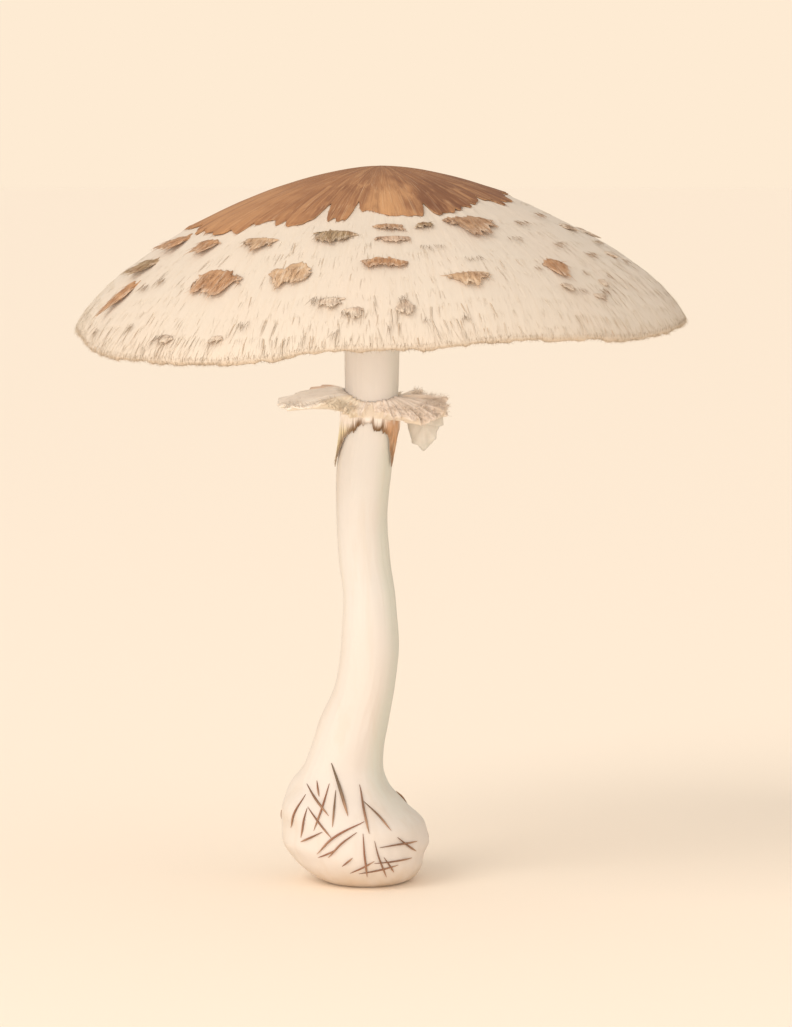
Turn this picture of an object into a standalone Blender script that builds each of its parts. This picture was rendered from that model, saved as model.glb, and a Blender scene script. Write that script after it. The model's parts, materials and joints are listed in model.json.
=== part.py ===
"""Shaggy parasol mushroom as picked, standing on the small flat spot under its bulb.

Z is up, +X is the right-hand side and -Y is the front. The origin is the middle of the flat spot.
Dimensions are in millimetres and angles in degrees. Meshes are made in metres.
"""

import math

import bmesh
import bpy
import numpy as np
from mathutils import Vector

# Cap
CAP_RADIUS = 75.1
CAP_RISE = 39.6
CAP_ROUNDING = (1.62, 0.735)
CAP_MIDDLE = (3.74, 0.0, 137.8)
CAP_TILT = -0.6
CAP_SECTORS = 128
CAP_ROWS = 7
FLESH_DEPTH = 1.3
CAP_SEED = 11

# Azimuth and radius of the brown crown's torn edge
CROWN_EDGE = (
    (0, 31.0), (14, 34.5), (24, 31.5), (40, 36.5), (52, 34.0), (68, 39.0), (80, 35.5), (96, 41.5),
    (108, 38.0), (122, 43.0), (136, 40.0), (150, 45.5), (163, 43.5), (176, 47.5), (186, 47.5),
    (194, 45.0), (203, 47.0), (216, 47.0), (226, 44.5), (232, 42.0), (239, 43.5), (246, 42.5),
    (250, 37.0), (254, 41.0), (258, 41.0), (262, 36.5), (269, 38.5), (275, 40.0), (282, 39.6),
    (288, 37.6), (294, 39.5), (301, 37.0), (308, 36.0), (318, 32.6), (327, 34.6), (336, 33.4),
    (348, 30.0),
)
CROWN_THICK = 1.1

# How far the cap's margin hangs below its plane, by azimuth
MARGIN_DROOP = (
    (0, -1.2), (20, 0.4), (45, 1.8), (70, 0.6), (95, -0.6), (118, 1.4), (140, 2.4), (162, 0.6),
    (180, -0.6), (190, -0.4), (202, 2.6), (214, 3.8), (234, 3.9), (250, 2.6), (258, 0.7), (266, 0.2),
    (277, 0.2), (285, -0.6), (293, -1.3), (305, -1.1), (323, 0.3), (338, -0.5), (350, -1.2),
)

# Torn brown scales in front: arc radius, azimuth, width, length, lift, teeth
FRONT_SCALES = (
    (52.0, 198, 7.0, 8.0, 1.7, 2), (51.2, 216, 8.5, 6.5, 1.7, 2), (49.4, 235, 9.0, 4.5, 1.3, 2),
    (47.6, 257, 12.0, 5.8, 1.4, 3), (44.6, 273, 7.5, 4.6, 1.2, 1), (49.2, 274, 9.5, 3.8, 1.0, 2),
    (44.0, 284, 5.0, 3.8, 1.2, 1), (44.0, 300, 14.0, 9.4, 1.7, 3), (59.8, 230, 16.0, 8.6, 1.7, 3),
    (59.2, 249, 11.0, 8.0, 1.5, 2), (57.0, 271, 11.0, 4.0, 1.2, 2), (63.0, 289, 12.0, 5.4, 1.4, 3),
    (60.0, 314, 7.6, 7.6, 1.5, 2), (66.4, 200, 5.0, 11.0, 1.4, 1), (59.6, 197, 6.0, 7.0, 1.6, 1),
    (67.2, 260, 7.5, 3.6, 1.2, 2), (69.6, 265, 4.6, 3.4, 1.2, 1), (68.6, 275, 4.4, 5.0, 1.5, 1),
    (66.0, 312, 3.8, 3.2, 1.2, 1), (68.0, 320, 5.0, 3.0, 1.2, 1), (64.5, 325, 3.6, 3.0, 1.1, 1),
    (72.4, 226, 5.0, 3.2, 1.1, 1), (72.2, 238, 4.4, 2.8, 1.0, 1), (47.0, 345, 6.5, 4.6, 0.8, 2),
    (58.0, 343, 4.0, 3.4, 0.7, 1),
)
BACK_SCALES = 16
BACK_SEED = 7
SCALE_THICK = 0.9
# Share of a turn that spreads any number of things evenly
GOLDEN_SHARE = 0.618
# Count and arc length of the coarse rings under the crown
INNER_RINGS = ((32, 9.0), (64, 19.5))

# Gills
FULL_GILLS = 56
GILL_EDGE = 0.7
WELL_RADIUS = 9.0
SOCKET_RADIUS = 7.3
SOCKET_TOP = 31.8

# Stem and bulb: height, middle across, middle in depth, radius
STEM = (
    (0.0, 0.0, 0.0, 9.6), (0.9, -0.1, 0.0, 11.6), (3.0, -0.8, 0.1, 14.2), (6.6, -1.9, 0.2, 16.7),
    (10.4, -2.8, 0.3, 17.9), (14.4, -3.3, 0.4, 17.6), (19.2, -5.4, 0.6, 15.4), (24.2, -6.5, 0.8, 12.1),
    (29.5, -5.6, 1.0, 9.8), (39.8, -3.0, 1.4, 8.5), (49.8, -0.1, 1.6, 7.5), (60.0, 1.05, 1.5, 7.2),
    (70.2, 0.85, 1.2, 6.6), (80.9, -0.6, 0.7, 6.3), (91.1, -1.15, 0.2, 6.4), (103.8, -0.35, -0.3, 6.8),
    (112.4, 0.85, -0.6, 6.35), (121.0, 1.4, -0.7, 6.5), (131.2, 1.5, -0.6, 6.7), (150.0, 2.3, -0.2, 6.7),
    (168.8, 3.4, 0.0, 6.6),
)
STEM_SECTORS = 28
STEM_SEED = 5

# Dry needles stuck on the bulb in front: paths of (across, height), and each one's thickness
NEEDLES = (
    (((-8.4, 30.8), (-7.1, 27.1), (-4.4, 18.8)), 1.5), (((-7.4, 24.6), (-7.8, 20.3), (-8.2, 16.2)), 0.9),
    (((-14.8, 25.4), (-12.2, 22.3), (-9.1, 18.7)), 1.1),
    (((-9.0, 26.0), (-10.7, 20.6), (-12.8, 15.0)), 0.9), (((-12.1, 26.5), (-11.5, 22.9)), 0.8),
    (((-15.0, 23.1), (-16.9, 19.1), (-18.8, 14.6)), 0.9),
    (((-14.3, 20.2), (-15.2, 16.6), (-16.1, 12.8)), 0.9),
    (((-14.2, 20.5), (-11.4, 17.0), (-8.3, 13.4)), 0.9),
    (((-0.4, 17.4), (-3.3, 13.0), (-7.7, 10.0), (-12.1, 8.2)), 1.0),
    (((-10.7, 14.9), (-16.1, 11.8)), 0.9), (((-2.2, 15.1), (-5.3, 11.5), (-9.2, 7.2)), 0.9),
    (((-11.8, 8.3), (-9.5, 9.5), (-6.9, 11.0)), 0.8), (((-1.7, 25.7), (-0.7, 20.4), (0.8, 14.7)), 1.1),
    (((-0.6, 21.9), (2.0, 17.4), (6.0, 15.1)), 0.9), (((-0.7, 14.8), (-0.4, 9.9), (0.3, 3.5)), 0.9),
    (((7.6, 13.3), (10.4, 10.8), (12.4, 9.0)), 0.9), (((3.4, 11.2), (8.0, 11.5), (12.6, 11.4)), 0.9),
    (((2.1, 12.9), (3.3, 8.0), (5.0, 3.2)), 0.8), (((4.4, 8.7), (6.8, 4.4)), 0.8),
    (((-3.8, 4.6), (2.0, 7.9)), 0.8), (((-1.7, 4.5), (7.9, 6.3)), 0.8), (((2.0, 7.3), (11.4, 7.5)), 0.8),
    (((-5.7, 6.5), (-3.2, 8.9)), 0.8),
)
BACK_NEEDLES = 8

# Ring: azimuth, reach from the stem's axis, height of the torn skirt's rim
RING_MIDDLE = 1.0
SKIRT = (
    (0, 18.8, 117.8), (6, 17.6, 119.9), (13, 17.2, 118.3), (20, 15.4, 118.6), (27, 15.0, 121.0),
    (35, 14.4, 118.5), (48, 12.8, 118.5), (59, 13.0, 121.0), (68, 12.0, 118.6), (82, 11.8, 118.2),
    (95, 13.0, 117.8), (108, 12.2, 118.8), (124, 13.6, 119.8), (136, 14.2, 120.4), (142, 14.8, 122.0),
    (149, 16.4, 121.9), (155, 17.8, 121.0), (166, 20.2, 120.5), (176, 22.9, 119.7), (186, 23.3, 119.1),
    (196, 22.4, 119.0), (206, 20.6, 118.4), (214, 17.4, 119.2), (223, 14.0, 119.9),
    (232, 11.2, 118.4), (244, 10.6, 117.2), (256, 10.0, 117.4), (266, 8.6, 118.8), (276, 8.5, 118.2),
    (288, 9.6, 117.6), (300, 12.0, 116.8), (312, 14.6, 116.0), (325, 17.6, 115.6), (338, 19.4, 116.2),
    (350, 19.2, 117.2),
)
RING_TOP = (
    (0, 120.8), (40, 120.8), (90, 121.0), (140, 122.0), (180, 122.6), (215, 121.6), (245, 120.4),
    (270, 120.0), (300, 120.4), (330, 121.0),
)
# Height at which the skirt's underside meets the sleeve
SKIRT_ROOT = (
    (0, 115.8), (40, 116.2), (90, 116.2), (130, 117.0), (155, 118.2), (185, 118.2), (205, 118.0),
    (222, 117.5), (236, 116.4), (250, 116.0), (300, 115.6), (340, 115.6),
)
# Lower torn edge of the sleeve, with its two tails
SLEEVE = (
    (0, 111.6), (20, 112.6), (45, 110.8), (70, 113.4), (95, 112.0), (120, 110.6), (145, 113.0),
    (165, 111.4), (176, 110.0), (184, 105.6), (190, 103.8), (196, 105.4), (206, 109.4), (216, 111.6),
    (226, 112.2), (236, 112.4), (248, 114.2), (260, 114.6), (272, 115.0), (282, 112.6), (292, 113.0),
    (302, 112.2), (312, 111.6), (322, 108.4), (332, 104.6), (338, 104.2), (346, 109.0),
)
RING_SECTORS = 84
RING_GAP = 0.35
SLEEVE_THICK = 0.75
RING_SEED = 23
# Loose flap that hangs behind the right side of the ring: across and height
FLAP = (
    (9.8, 118.8), (10.4, 112.2), (11.3, 109.2), (12.6, 108.4), (14.2, 107.0), (15.9, 108.6),
    (17.3, 109.9), (17.9, 112.6), (19.2, 113.4), (18.8, 118.0), (14.5, 118.6),
)
FLAP_THICK = 1.0

COLOURS = {
    "cap": (0.80, 0.70, 0.56),
    "crown": (0.30, 0.15, 0.07),
    "ring": (0.78, 0.66, 0.54),
    "stem": (0.80, 0.73, 0.61),
}


def around(table, angle, column=1):
    """A value of the table at each angle in degrees, smooth all the way round."""
    rows = sorted(table)
    turns = np.array([row[0] for row in rows], float)
    values = np.array([row[column] for row in rows], float)
    turns = np.concatenate([turns[-2:] - 360, turns, turns[:2] + 360])
    values = np.concatenate([values[-2:], values, values[:2]])
    return smooth(turns, values, np.mod(angle, 360))


def smooth(xs, ys, x):
    """Cubic curve through the points that keeps each of their peaks."""
    xs = np.asarray(xs, float)
    ys = np.asarray(ys, float)
    x = np.clip(np.asarray(x, float), xs[0], xs[-1])
    steps = np.diff(ys) / np.diff(xs)
    slope = np.zeros(len(xs))
    same = steps[:-1] * steps[1:] > 0
    slope[1:-1][same] = 2 * steps[:-1][same] * steps[1:][same] / (steps[:-1] + steps[1:])[same]
    slope[0] = steps[0]
    slope[-1] = steps[-1]
    i = np.clip(np.searchsorted(xs, x, side="right") - 1, 0, len(xs) - 2)
    wide = xs[i + 1] - xs[i]
    t = (x - xs[i]) / wide
    a = (1 + 2 * t) * (1 - t) ** 2
    b = t * (1 - t) ** 2
    c = t * t * (3 - 2 * t)
    d = t * t * (t - 1)
    return a * ys[i] + b * wide * slope[i] + c * ys[i + 1] + d * wide * slope[i + 1]


def waves(rng, angle, sizes):
    """Closed noise round the axis: sizes holds a height for each number of waves in a turn."""
    total = np.zeros(len(angle))
    for count, size in sizes:
        total += size * np.sin(np.radians(angle) * count + rng.uniform(0, 2 * math.pi))
    return total


def tufts(rng, count, widths):
    """How far each sector lies from the gap between two tufts (0) to a tuft's tip (up to 1)."""
    shape = np.zeros(count)
    at = int(rng.integers(0, count))
    left = count
    while left > 0:
        wide = min(int(rng.choice(widths)), left)
        strong = rng.uniform(0.3, 1.0)
        for step in range(wide):
            shape[(at + step) % count] = strong * math.sin(math.pi * (step + 0.15) / (wide + 0.15))
        at += wide
        left -= wide
    return shape


class Dome:
    """The cap's outline, walked by arc length from the apex, with offsets along its normal."""

    def __init__(self):
        turn = np.linspace(0, math.pi / 2, 3001)
        self.r = CAP_RADIUS * np.sin(turn)
        inside = np.clip(1 - (self.r / CAP_RADIUS) ** CAP_ROUNDING[0], 0, 1)
        self.z = CAP_RISE * inside ** CAP_ROUNDING[1]
        steps = np.hypot(np.diff(self.r), np.diff(self.z))
        self.s = np.concatenate([[0], np.cumsum(steps)])
        self.length = float(self.s[-1])
        self.tr = np.gradient(self.r, self.s)
        self.tz = np.gradient(self.z, self.s)

    def arc(self, r):
        return np.interp(r, self.r, self.s)

    def at(self, s, out):
        s = np.asarray(s, float)
        below = np.maximum(s - self.length, 0)
        tr = np.interp(s, self.s, self.tr)
        tz = np.interp(s, self.s, self.tz)
        size = np.hypot(tr, tz)
        r = np.interp(s, self.s, self.r) - tz / size * out - 0.12 * below
        z = np.interp(s, self.s, self.z) + tr / size * out - below
        return r, z


DOME = Dome()


def on_cap(r, angle, z):
    """Points in the cap's own frame, its margin drooping and its axis tilted, as points of the part."""
    r, angle, z = np.broadcast_arrays(np.asarray(r, float), angle, z)
    reach = np.clip((r - 40) / 33, 0, 1)
    z = z - around(MARGIN_DROOP, angle) * reach * reach * (3 - 2 * reach)
    x = r * np.cos(np.radians(angle))
    y = r * np.sin(np.radians(angle))
    turn = math.radians(CAP_TILT)
    return np.stack([
        CAP_MIDDLE[0] + x * math.cos(turn) + z * math.sin(turn),
        CAP_MIDDLE[1] + y,
        CAP_MIDDLE[2] - x * math.sin(turn) + z * math.cos(turn),
    ], axis=-1)


class Skin:
    """Rings of points joined by triangles."""

    def __init__(self):
        self.points = []
        self.faces = []

    def ring(self, points):
        first = len(self.points)
        self.points.extend(tuple(p) for p in np.atleast_2d(points))
        return list(range(first, len(self.points)))

    def band(self, a, b):
        count = len(a)
        for i in range(count):
            j = (i + 1) % count
            self.faces.append((a[i], a[j], b[i]))
            self.faces.append((a[j], b[j], b[i]))

    def double(self, a, b):
        """Joins a ring to one of twice as many points."""
        count = len(a)
        for i in range(count):
            j = (i + 1) % count
            left, mid, right = b[2 * i], b[2 * i + 1], b[(2 * i + 2) % len(b)]
            self.faces.append((a[i], mid, left))
            self.faces.append((a[i], a[j], mid))
            self.faces.append((a[j], right, mid))

    def fan(self, middle, a):
        for i in range(len(a)):
            self.faces.append((middle, a[i], a[(i + 1) % len(a)]))

    def stitch(self, a, a_turns, b, b_turns):
        """Joins two rings of any number of points, each sorted by angle from the same start."""
        i = j = 0
        while i < len(a) or j < len(b):
            next_a = a_turns[i + 1] if i + 1 < len(a) else a_turns[0] + 360
            next_b = b_turns[j + 1] if j + 1 < len(b) else b_turns[0] + 360
            here_a, here_b = a[i % len(a)], b[j % len(b)]
            if j >= len(b) or (i < len(a) and next_a <= next_b):
                self.faces.append((here_a, a[(i + 1) % len(a)], here_b))
                i += 1
            else:
                self.faces.append((here_a, b[(j + 1) % len(b)], here_b))
                j += 1

    def build(self, name, colour=None, smooth_angle=40.0):
        mesh = bpy.data.meshes.new(name)
        mesh.from_pydata([Vector(p) / 1000 for p in self.points], [], self.faces)
        shape = bmesh.new()
        shape.from_mesh(mesh)
        bmesh.ops.recalc_face_normals(shape, faces=shape.faces)
        if shape.calc_volume(signed=True) < 0:
            bmesh.ops.reverse_faces(shape, faces=shape.faces)
        shape.to_mesh(mesh)
        shape.free()
        obj = bpy.data.objects.new(name, mesh)
        bpy.context.scene.collection.objects.link(obj)
        if colour:
            obj.data.materials.append(material(name, colour))
            shade(obj, smooth_angle)
        return obj


def material(name, colour):
    made = bpy.data.materials.new(name)
    made.use_nodes = True
    surface = made.node_tree.nodes["Principled BSDF"]
    surface.inputs["Base Color"].default_value = (*colour, 1)
    surface.inputs["Roughness"].default_value = 0.85
    surface.inputs["Metallic"].default_value = 0.0
    made.diffuse_color = (*colour, 1)
    return made


def shade(obj, angle):
    obj.data.shade_smooth()
    obj.data.set_sharp_from_angle(angle=math.radians(angle))


def fuse(obj, pieces):
    """Unites the pieces with the object, then drops loose scraps and fills sealed hollows."""
    group = bpy.data.collections.new(obj.name + "_pieces")
    bpy.context.scene.collection.children.link(group)
    for piece in pieces:
        bpy.context.scene.collection.objects.unlink(piece)
        group.objects.link(piece)
    union = obj.modifiers.new("fuse", "BOOLEAN")
    union.operation = "UNION"
    union.operand_type = "COLLECTION"
    union.collection = group
    union.solver = "MANIFOLD"
    graph = bpy.context.evaluated_depsgraph_get()
    mesh = bpy.data.meshes.new_from_object(obj.evaluated_get(graph))
    obj.modifiers.clear()
    old = obj.data
    obj.data = mesh
    bpy.data.meshes.remove(old)
    mesh.name = obj.name
    for piece in pieces:
        bpy.data.objects.remove(piece)
    bpy.data.collections.remove(group)
    shape = bmesh.new()
    shape.from_mesh(mesh)
    seen = set()
    bodies = []
    for start in shape.verts:
        if start in seen:
            continue
        body = []
        todo = [start]
        seen.add(start)
        while todo:
            vert = todo.pop()
            body.append(vert)
            for edge in vert.link_edges:
                other = edge.other_vert(vert)
                if other not in seen:
                    seen.add(other)
                    todo.append(other)
        bodies.append(body)
    bodies.sort(key=len)
    for body in bodies[:-1]:
        bmesh.ops.delete(shape, geom=body, context="VERTS")
    bmesh.ops.triangulate(shape, faces=shape.faces)
    shape.to_mesh(mesh)
    shape.free()


def make_cap():
    rng = np.random.default_rng(CAP_SEED)
    count = CAP_SECTORS
    angle = np.arange(count) * 360 / count
    edge_s = crown_edge(angle)
    length = DOME.length
    skin = Skin()
    middle = skin.ring(on_cap(*on_dome(0, 0, -FLESH_DEPTH - 0.2)))[0]
    inner = None
    for number, s in INNER_RINGS:
        turn = np.arange(number) * 360 / number
        ring = skin.ring(on_cap(*on_dome(np.full(number, s), turn, -FLESH_DEPTH - 0.2)))
        if inner is None:
            skin.fan(middle, ring)
        else:
            skin.double(inner, ring)
        inner = ring
    foot_s = edge_s + 0.5
    foot = skin.ring(on_cap(*on_dome(foot_s, angle, -FLESH_DEPTH - 0.2)))
    skin.double(inner, foot)
    for row in range(1, CAP_ROWS):
        part = row / CAP_ROWS
        shape = tufts(rng, count, (2, 3, 3, 4) if row < 4 else (2, 2, 3))
        patch = np.clip(0.6 + waves(rng, angle, ((4, 0.25), (9, 0.35), (14, 0.25))), 0.08, 1)
        tip = shape * patch
        wander = waves(rng, angle, ((3, 0.7), (5, 0.6), (8, 0.5), (13, 0.4)))
        lip_s = edge_s + (length - edge_s) * part + wander + (4.4 - 1.6 * part) * tip - 1.0
        lip_s = np.maximum(lip_s + rng.uniform(-0.3, 0.3, count), foot_s + 1.4)
        rise = -1.0 + (2.2 - 0.8 * part) * tip
        lip = skin.ring(on_cap(*on_dome(lip_s, angle, rise)))
        skin.band(foot, lip)
        foot_s = lip_s - 0.25 - (1.9 - 0.6 * part) * tip
        foot = skin.ring(on_cap(*on_dome(foot_s, angle, np.minimum(-FLESH_DEPTH, rise - 0.25))))
        skin.band(lip, foot)
    shape = tufts(rng, count, (2, 2, 2, 3)) * np.clip(0.7 + waves(rng, angle, ((6, 0.3), (11, 0.3))), 0.2, 1)
    lip = skin.ring(on_cap(*on_dome(length - 0.5 + 3.0 * shape, angle, -0.8 + 0.7 * shape)))
    skin.band(foot, lip)
    add_gills(skin, lip, angle, rng)
    cap = skin.build("cap", COLOURS["cap"])
    plates = [scale_plate(rng, *row) for row in (*FRONT_SCALES, *back_scales())]
    fuse(cap, plates)
    shade(cap, 40.0)


def back_scales():
    """Scales spread evenly over the back, as rows like those in front."""
    rng = np.random.default_rng(BACK_SEED)
    rows = []
    for i in range(BACK_SCALES):
        r = 46 + 24 * math.sqrt((i + rng.uniform(0, 1)) / BACK_SCALES)
        turn = 4 + 168 * (i * GOLDEN_SHARE % 1)
        big = rng.uniform(0.4, 1.0) * (1.1 if r < 62 else 0.65)
        rows.append((r, turn, 4 + 9 * big, 3 + 4.5 * big, 0.7 + 0.8 * big, 1 + round(2 * big)))
    return rows


def on_dome(s, angle, out):
    """Radius, azimuth and height in the cap's own frame at an arc length and an offset outward."""
    r, z = DOME.at(s, out)
    return r, angle, z


def crown_edge(angle):
    """Arc length of the crown's edge with its small torn teeth, which the flesh under it follows."""
    rng = np.random.default_rng(CAP_SEED + 1)
    teeth = 1.7 * (tufts(rng, len(angle), (2, 3, 3, 4)) - 0.55)
    return DOME.arc(around(CROWN_EDGE, angle)) + teeth


def add_gills(skin, lip, lip_turns, rng):
    """The cap's underside: thin flesh, with long and short gills raised from it, round the stem's socket."""
    length = DOME.length
    step = 360 / FULL_GILLS
    r, _, z = on_dome(length - 1.2, 0, -2.9)
    rim = skin.ring(on_cap(np.full(len(lip), float(r)), lip_turns, float(z)))
    skin.band(lip, rim)
    centre = np.arange(FULL_GILLS) * step
    uneven = rng.uniform(-0.35, 0.35, FULL_GILLS)
    uneven_short = rng.uniform(-0.5, 0.3, FULL_GILLS)
    outer = None
    for s, flesh, long_deep, short_deep in ((length - 5.5, 3.3, 0.9, 0.7), (69.0, 3.9, 5.4, 3.8), (50.0, 5.0, 11.0, 3.2)):
        r, _, z = on_dome(s, 0, -flesh)
        half = math.degrees(GILL_EDGE / 2 / r)
        points = []
        turns = []
        for i, mid in enumerate(centre):
            for turn, low in (
                (mid - half, long_deep + uneven[i]), (mid + half, long_deep + uneven[i]), (mid + step / 4, 0.0),
                (mid + step / 2 - half, short_deep + uneven_short[i]), (mid + step / 2 + half, short_deep + uneven_short[i]),
                (mid + step * 3 / 4, 0.0),
            ):
                turns.append(turn)
                points.append((r, turn, z - low))
        ring = skin.ring(on_cap(*np.array(points).T))
        if outer is None:
            skin.stitch(rim, list(lip_turns), ring, turns)
        else:
            skin.band(outer, ring)
        outer = ring
    r, _, z = on_dome(39.0, 0, -6.2)
    inner = gill_ring(skin, r, z, 13.0 + uneven, centre, step)
    for i in range(FULL_GILLS):
        j = (i + 1) % FULL_GILLS
        left, right, between, short_a, short_b, after = outer[6 * i:6 * i + 6]
        far_left = outer[6 * j]
        a, b, valley = inner[3 * i:3 * i + 3]
        far = inner[3 * j]
        for face in (
            (left, right, a), (right, b, a), (right, between, b), (between, valley, b), (between, short_a, valley),
            (short_a, short_b, valley), (short_b, after, valley), (after, far_left, valley), (far_left, far, valley),
        ):
            skin.faces.append(face)
    for s, flesh, deep in ((22.5, 8.4, 13.2), (WELL_RADIUS + 0.6, 9.4, 8.0)):
        r, _, z = on_dome(s, 0, -flesh)
        ring = gill_ring(skin, r, z, deep + uneven, centre, step)
        skin.band(inner, ring)
        inner = ring
        ceiling = float(z)
    collar = skin.ring(on_cap(np.full(FULL_GILLS, WELL_RADIUS - 0.6), centre, ceiling))
    for i in range(FULL_GILLS):
        j = (i + 1) % FULL_GILLS
        a, b, valley = inner[3 * i:3 * i + 3]
        far = inner[3 * j]
        for face in ((a, b, collar[i]), (b, valley, collar[i]), (valley, collar[j], collar[i]), (valley, far, collar[j])):
            skin.faces.append(face)
    turn = np.arange(28) * 360 / 28
    mouth = skin.ring(on_cap(np.full(28, SOCKET_RADIUS), turn, ceiling))
    for i in range(28):
        j = (i + 1) % 28
        skin.faces.append((collar[2 * i], collar[2 * i + 1], mouth[i]))
        skin.faces.append((collar[2 * i + 1], mouth[j], mouth[i]))
        skin.faces.append((collar[2 * i + 1], collar[(2 * i + 2) % FULL_GILLS], mouth[j]))
    roof = skin.ring(on_cap(np.full(28, SOCKET_RADIUS), turn, SOCKET_TOP))
    skin.band(mouth, roof)
    skin.fan(skin.ring(on_cap(0.0, 0.0, SOCKET_TOP))[0], roof)


def gill_ring(skin, r, z, deep, centre, step):
    half = math.degrees(min(GILL_EDGE, r * math.radians(step) * 0.62) / 2 / r)
    points = []
    for mid, low in zip(centre, deep):
        points.append((r, mid - half, z - low))
        points.append((r, mid + half, z - low))
        points.append((r, mid + step / 2, z))
    return skin.ring(on_cap(*np.array(points).T))


def scale_plate(rng, r, azimuth, width, length, lift, teeth):
    """A torn scale: its upper edge sunk in the flesh, its toothed lower edge lifted off it."""
    w = width / 2
    up = length / 2
    sectors = np.arange(CAP_SECTORS) * 360 / CAP_SECTORS
    near = np.abs((sectors - azimuth + 180) % 360 - 180) < math.degrees(w / r) + 3
    middle = max(float(DOME.arc(r)), float(crown_edge(sectors)[near].max()) + 0.7 + up)
    outline = [(-w, -0.05 * length), (-0.6 * w, -up), (0.6 * w, -up * rng.uniform(0.8, 1.0)), (w, -0.05 * length)]
    count = 2 * teeth + 1
    cuts = np.cumsum(rng.uniform(0.6, 1.5, count + 1))
    for i in range(count):
        across = w * (1 - 2 * cuts[i] / cuts[-1])
        hang = rng.uniform(0.75, 1.15) if i % 2 == 0 else rng.uniform(0.35, 0.65)
        outline.append((across, up * hang * (1 - 0.35 * (across / w) ** 2)))
    outline = [(0.0, -0.08 * length)] + outline
    skin = Skin()
    sheets = []
    for under in (0.0, SCALE_THICK):
        across = np.array([p[0] for p in outline])
        down = np.array([p[1] for p in outline])
        part = np.clip((down + up) / length, 0, 1.1)
        s = middle + down
        out = -1.3 + (lift + 1.3) * part**0.8 - under
        out = out - 0.25 * (across / w) ** 2
        rr, z = DOME.at(s, out)
        turn = azimuth + np.degrees(across / np.maximum(rr, 1))
        sheets.append(skin.ring(on_cap(rr, turn, z)))
    top, low = sheets
    skin.fan(top[0], top[1:])
    skin.fan(low[0], low[1:])
    skin.band(top[1:], low[1:])
    return skin.build("scale")


def make_crown():
    rng = np.random.default_rng(CAP_SEED + 2)
    count = CAP_SECTORS
    angle = np.arange(count) * 360 / count
    edge_s = crown_edge(angle)
    skin = Skin()
    outs = (0.0, -CROWN_THICK)
    edges = []
    for under, out in enumerate(outs):
        middle = skin.ring(on_cap(*on_dome(0, 0, out)))[0]
        inner = None
        for number, s in INNER_RINGS:
            turn = np.arange(number) * 360 / number
            ring = skin.ring(on_cap(*on_dome(np.full(number, s), turn, out)))
            if inner is None:
                skin.fan(middle, ring)
            else:
                skin.double(inner, ring)
            inner = ring
        if under == 0:
            middle_s = edge_s * 0.6 + INNER_RINGS[-1][1] * 0.4
            ring = skin.ring(on_cap(*on_dome(middle_s, angle, out + rng.uniform(-0.1, 0.1, count))))
            skin.double(inner, ring)
            curl = 0.1 + np.clip(waves(rng, angle, ((6, 0.3), (11, 0.3), (23, 0.25))), -0.15, 0.7)
            lip = skin.ring(on_cap(*on_dome(edge_s, angle, curl)))
            skin.band(ring, lip)
        else:
            lip = skin.ring(on_cap(*on_dome(edge_s - 0.25, angle, curl - 0.95)))
            skin.double(inner, lip)
        edges.append(lip)
    skin.band(*edges)
    skin.build("crown", COLOURS["crown"])


def stem_at(z):
    """Middle across, middle in depth and radius of the stem at a height."""
    heights, across, depth, radii = np.array(STEM).T
    return smooth(heights, across, z), smooth(heights, depth, z), smooth(heights, radii, z)


def stem_point(z, angle, out=0.0):
    across, depth, radius = stem_at(z)
    x = across + (radius + out) * np.cos(np.radians(angle))
    y = depth + (radius + out) * np.sin(np.radians(angle))
    return np.stack(np.broadcast_arrays(x, y, z), axis=-1)


def make_stem():
    rng = np.random.default_rng(STEM_SEED)
    count = STEM_SECTORS
    angle = np.arange(count) * 360 / count
    heights = [row[0] for row in STEM]
    heights += [34.5]
    heights.sort()
    skin = Skin()
    first = skin.ring([(0.0, 0.0, 0.0)])[0]
    before = None
    for z in heights:
        lumps = 0.0
        if 6 < z < 100:
            size = 0.32 if z < 26 else 0.13
            lumps = waves(rng, angle, ((2, size), (3, size * 0.7), (5, size * 0.5)))
        ring = skin.ring(stem_point(z, angle, lumps))
        if before is None:
            skin.fan(first, ring)
        else:
            skin.band(before, ring)
        before = ring
    across, depth, _ = stem_at(heights[-1])
    skin.fan(skin.ring([(float(across), float(depth), heights[-1])])[0], before)
    stem = skin.build("stem", COLOURS["stem"])
    pieces = [needle(path, thick) for path, thick in NEEDLES]
    pieces += [needle(path, thick, True) for path, thick in back_needles()]
    fuse(stem, pieces)
    shade(stem, 50.0)


def back_needles():
    """Needles behind the bulb: paths of (azimuth, height), and each one's thickness."""
    rng = np.random.default_rng(STEM_SEED + 1)
    rows = []
    for i in range(BACK_NEEDLES):
        turn = 20 + 140 * (i * GOLDEN_SHARE % 1)
        z = rng.uniform(8, 21)
        lean = rng.uniform(-35, 35)
        fall = rng.uniform(5, 10) * (1 if i % 2 else -1)
        rows.append((((turn, z), (turn + lean, max(3.6, z + fall))), rng.uniform(0.8, 1.1)))
    return rows


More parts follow.
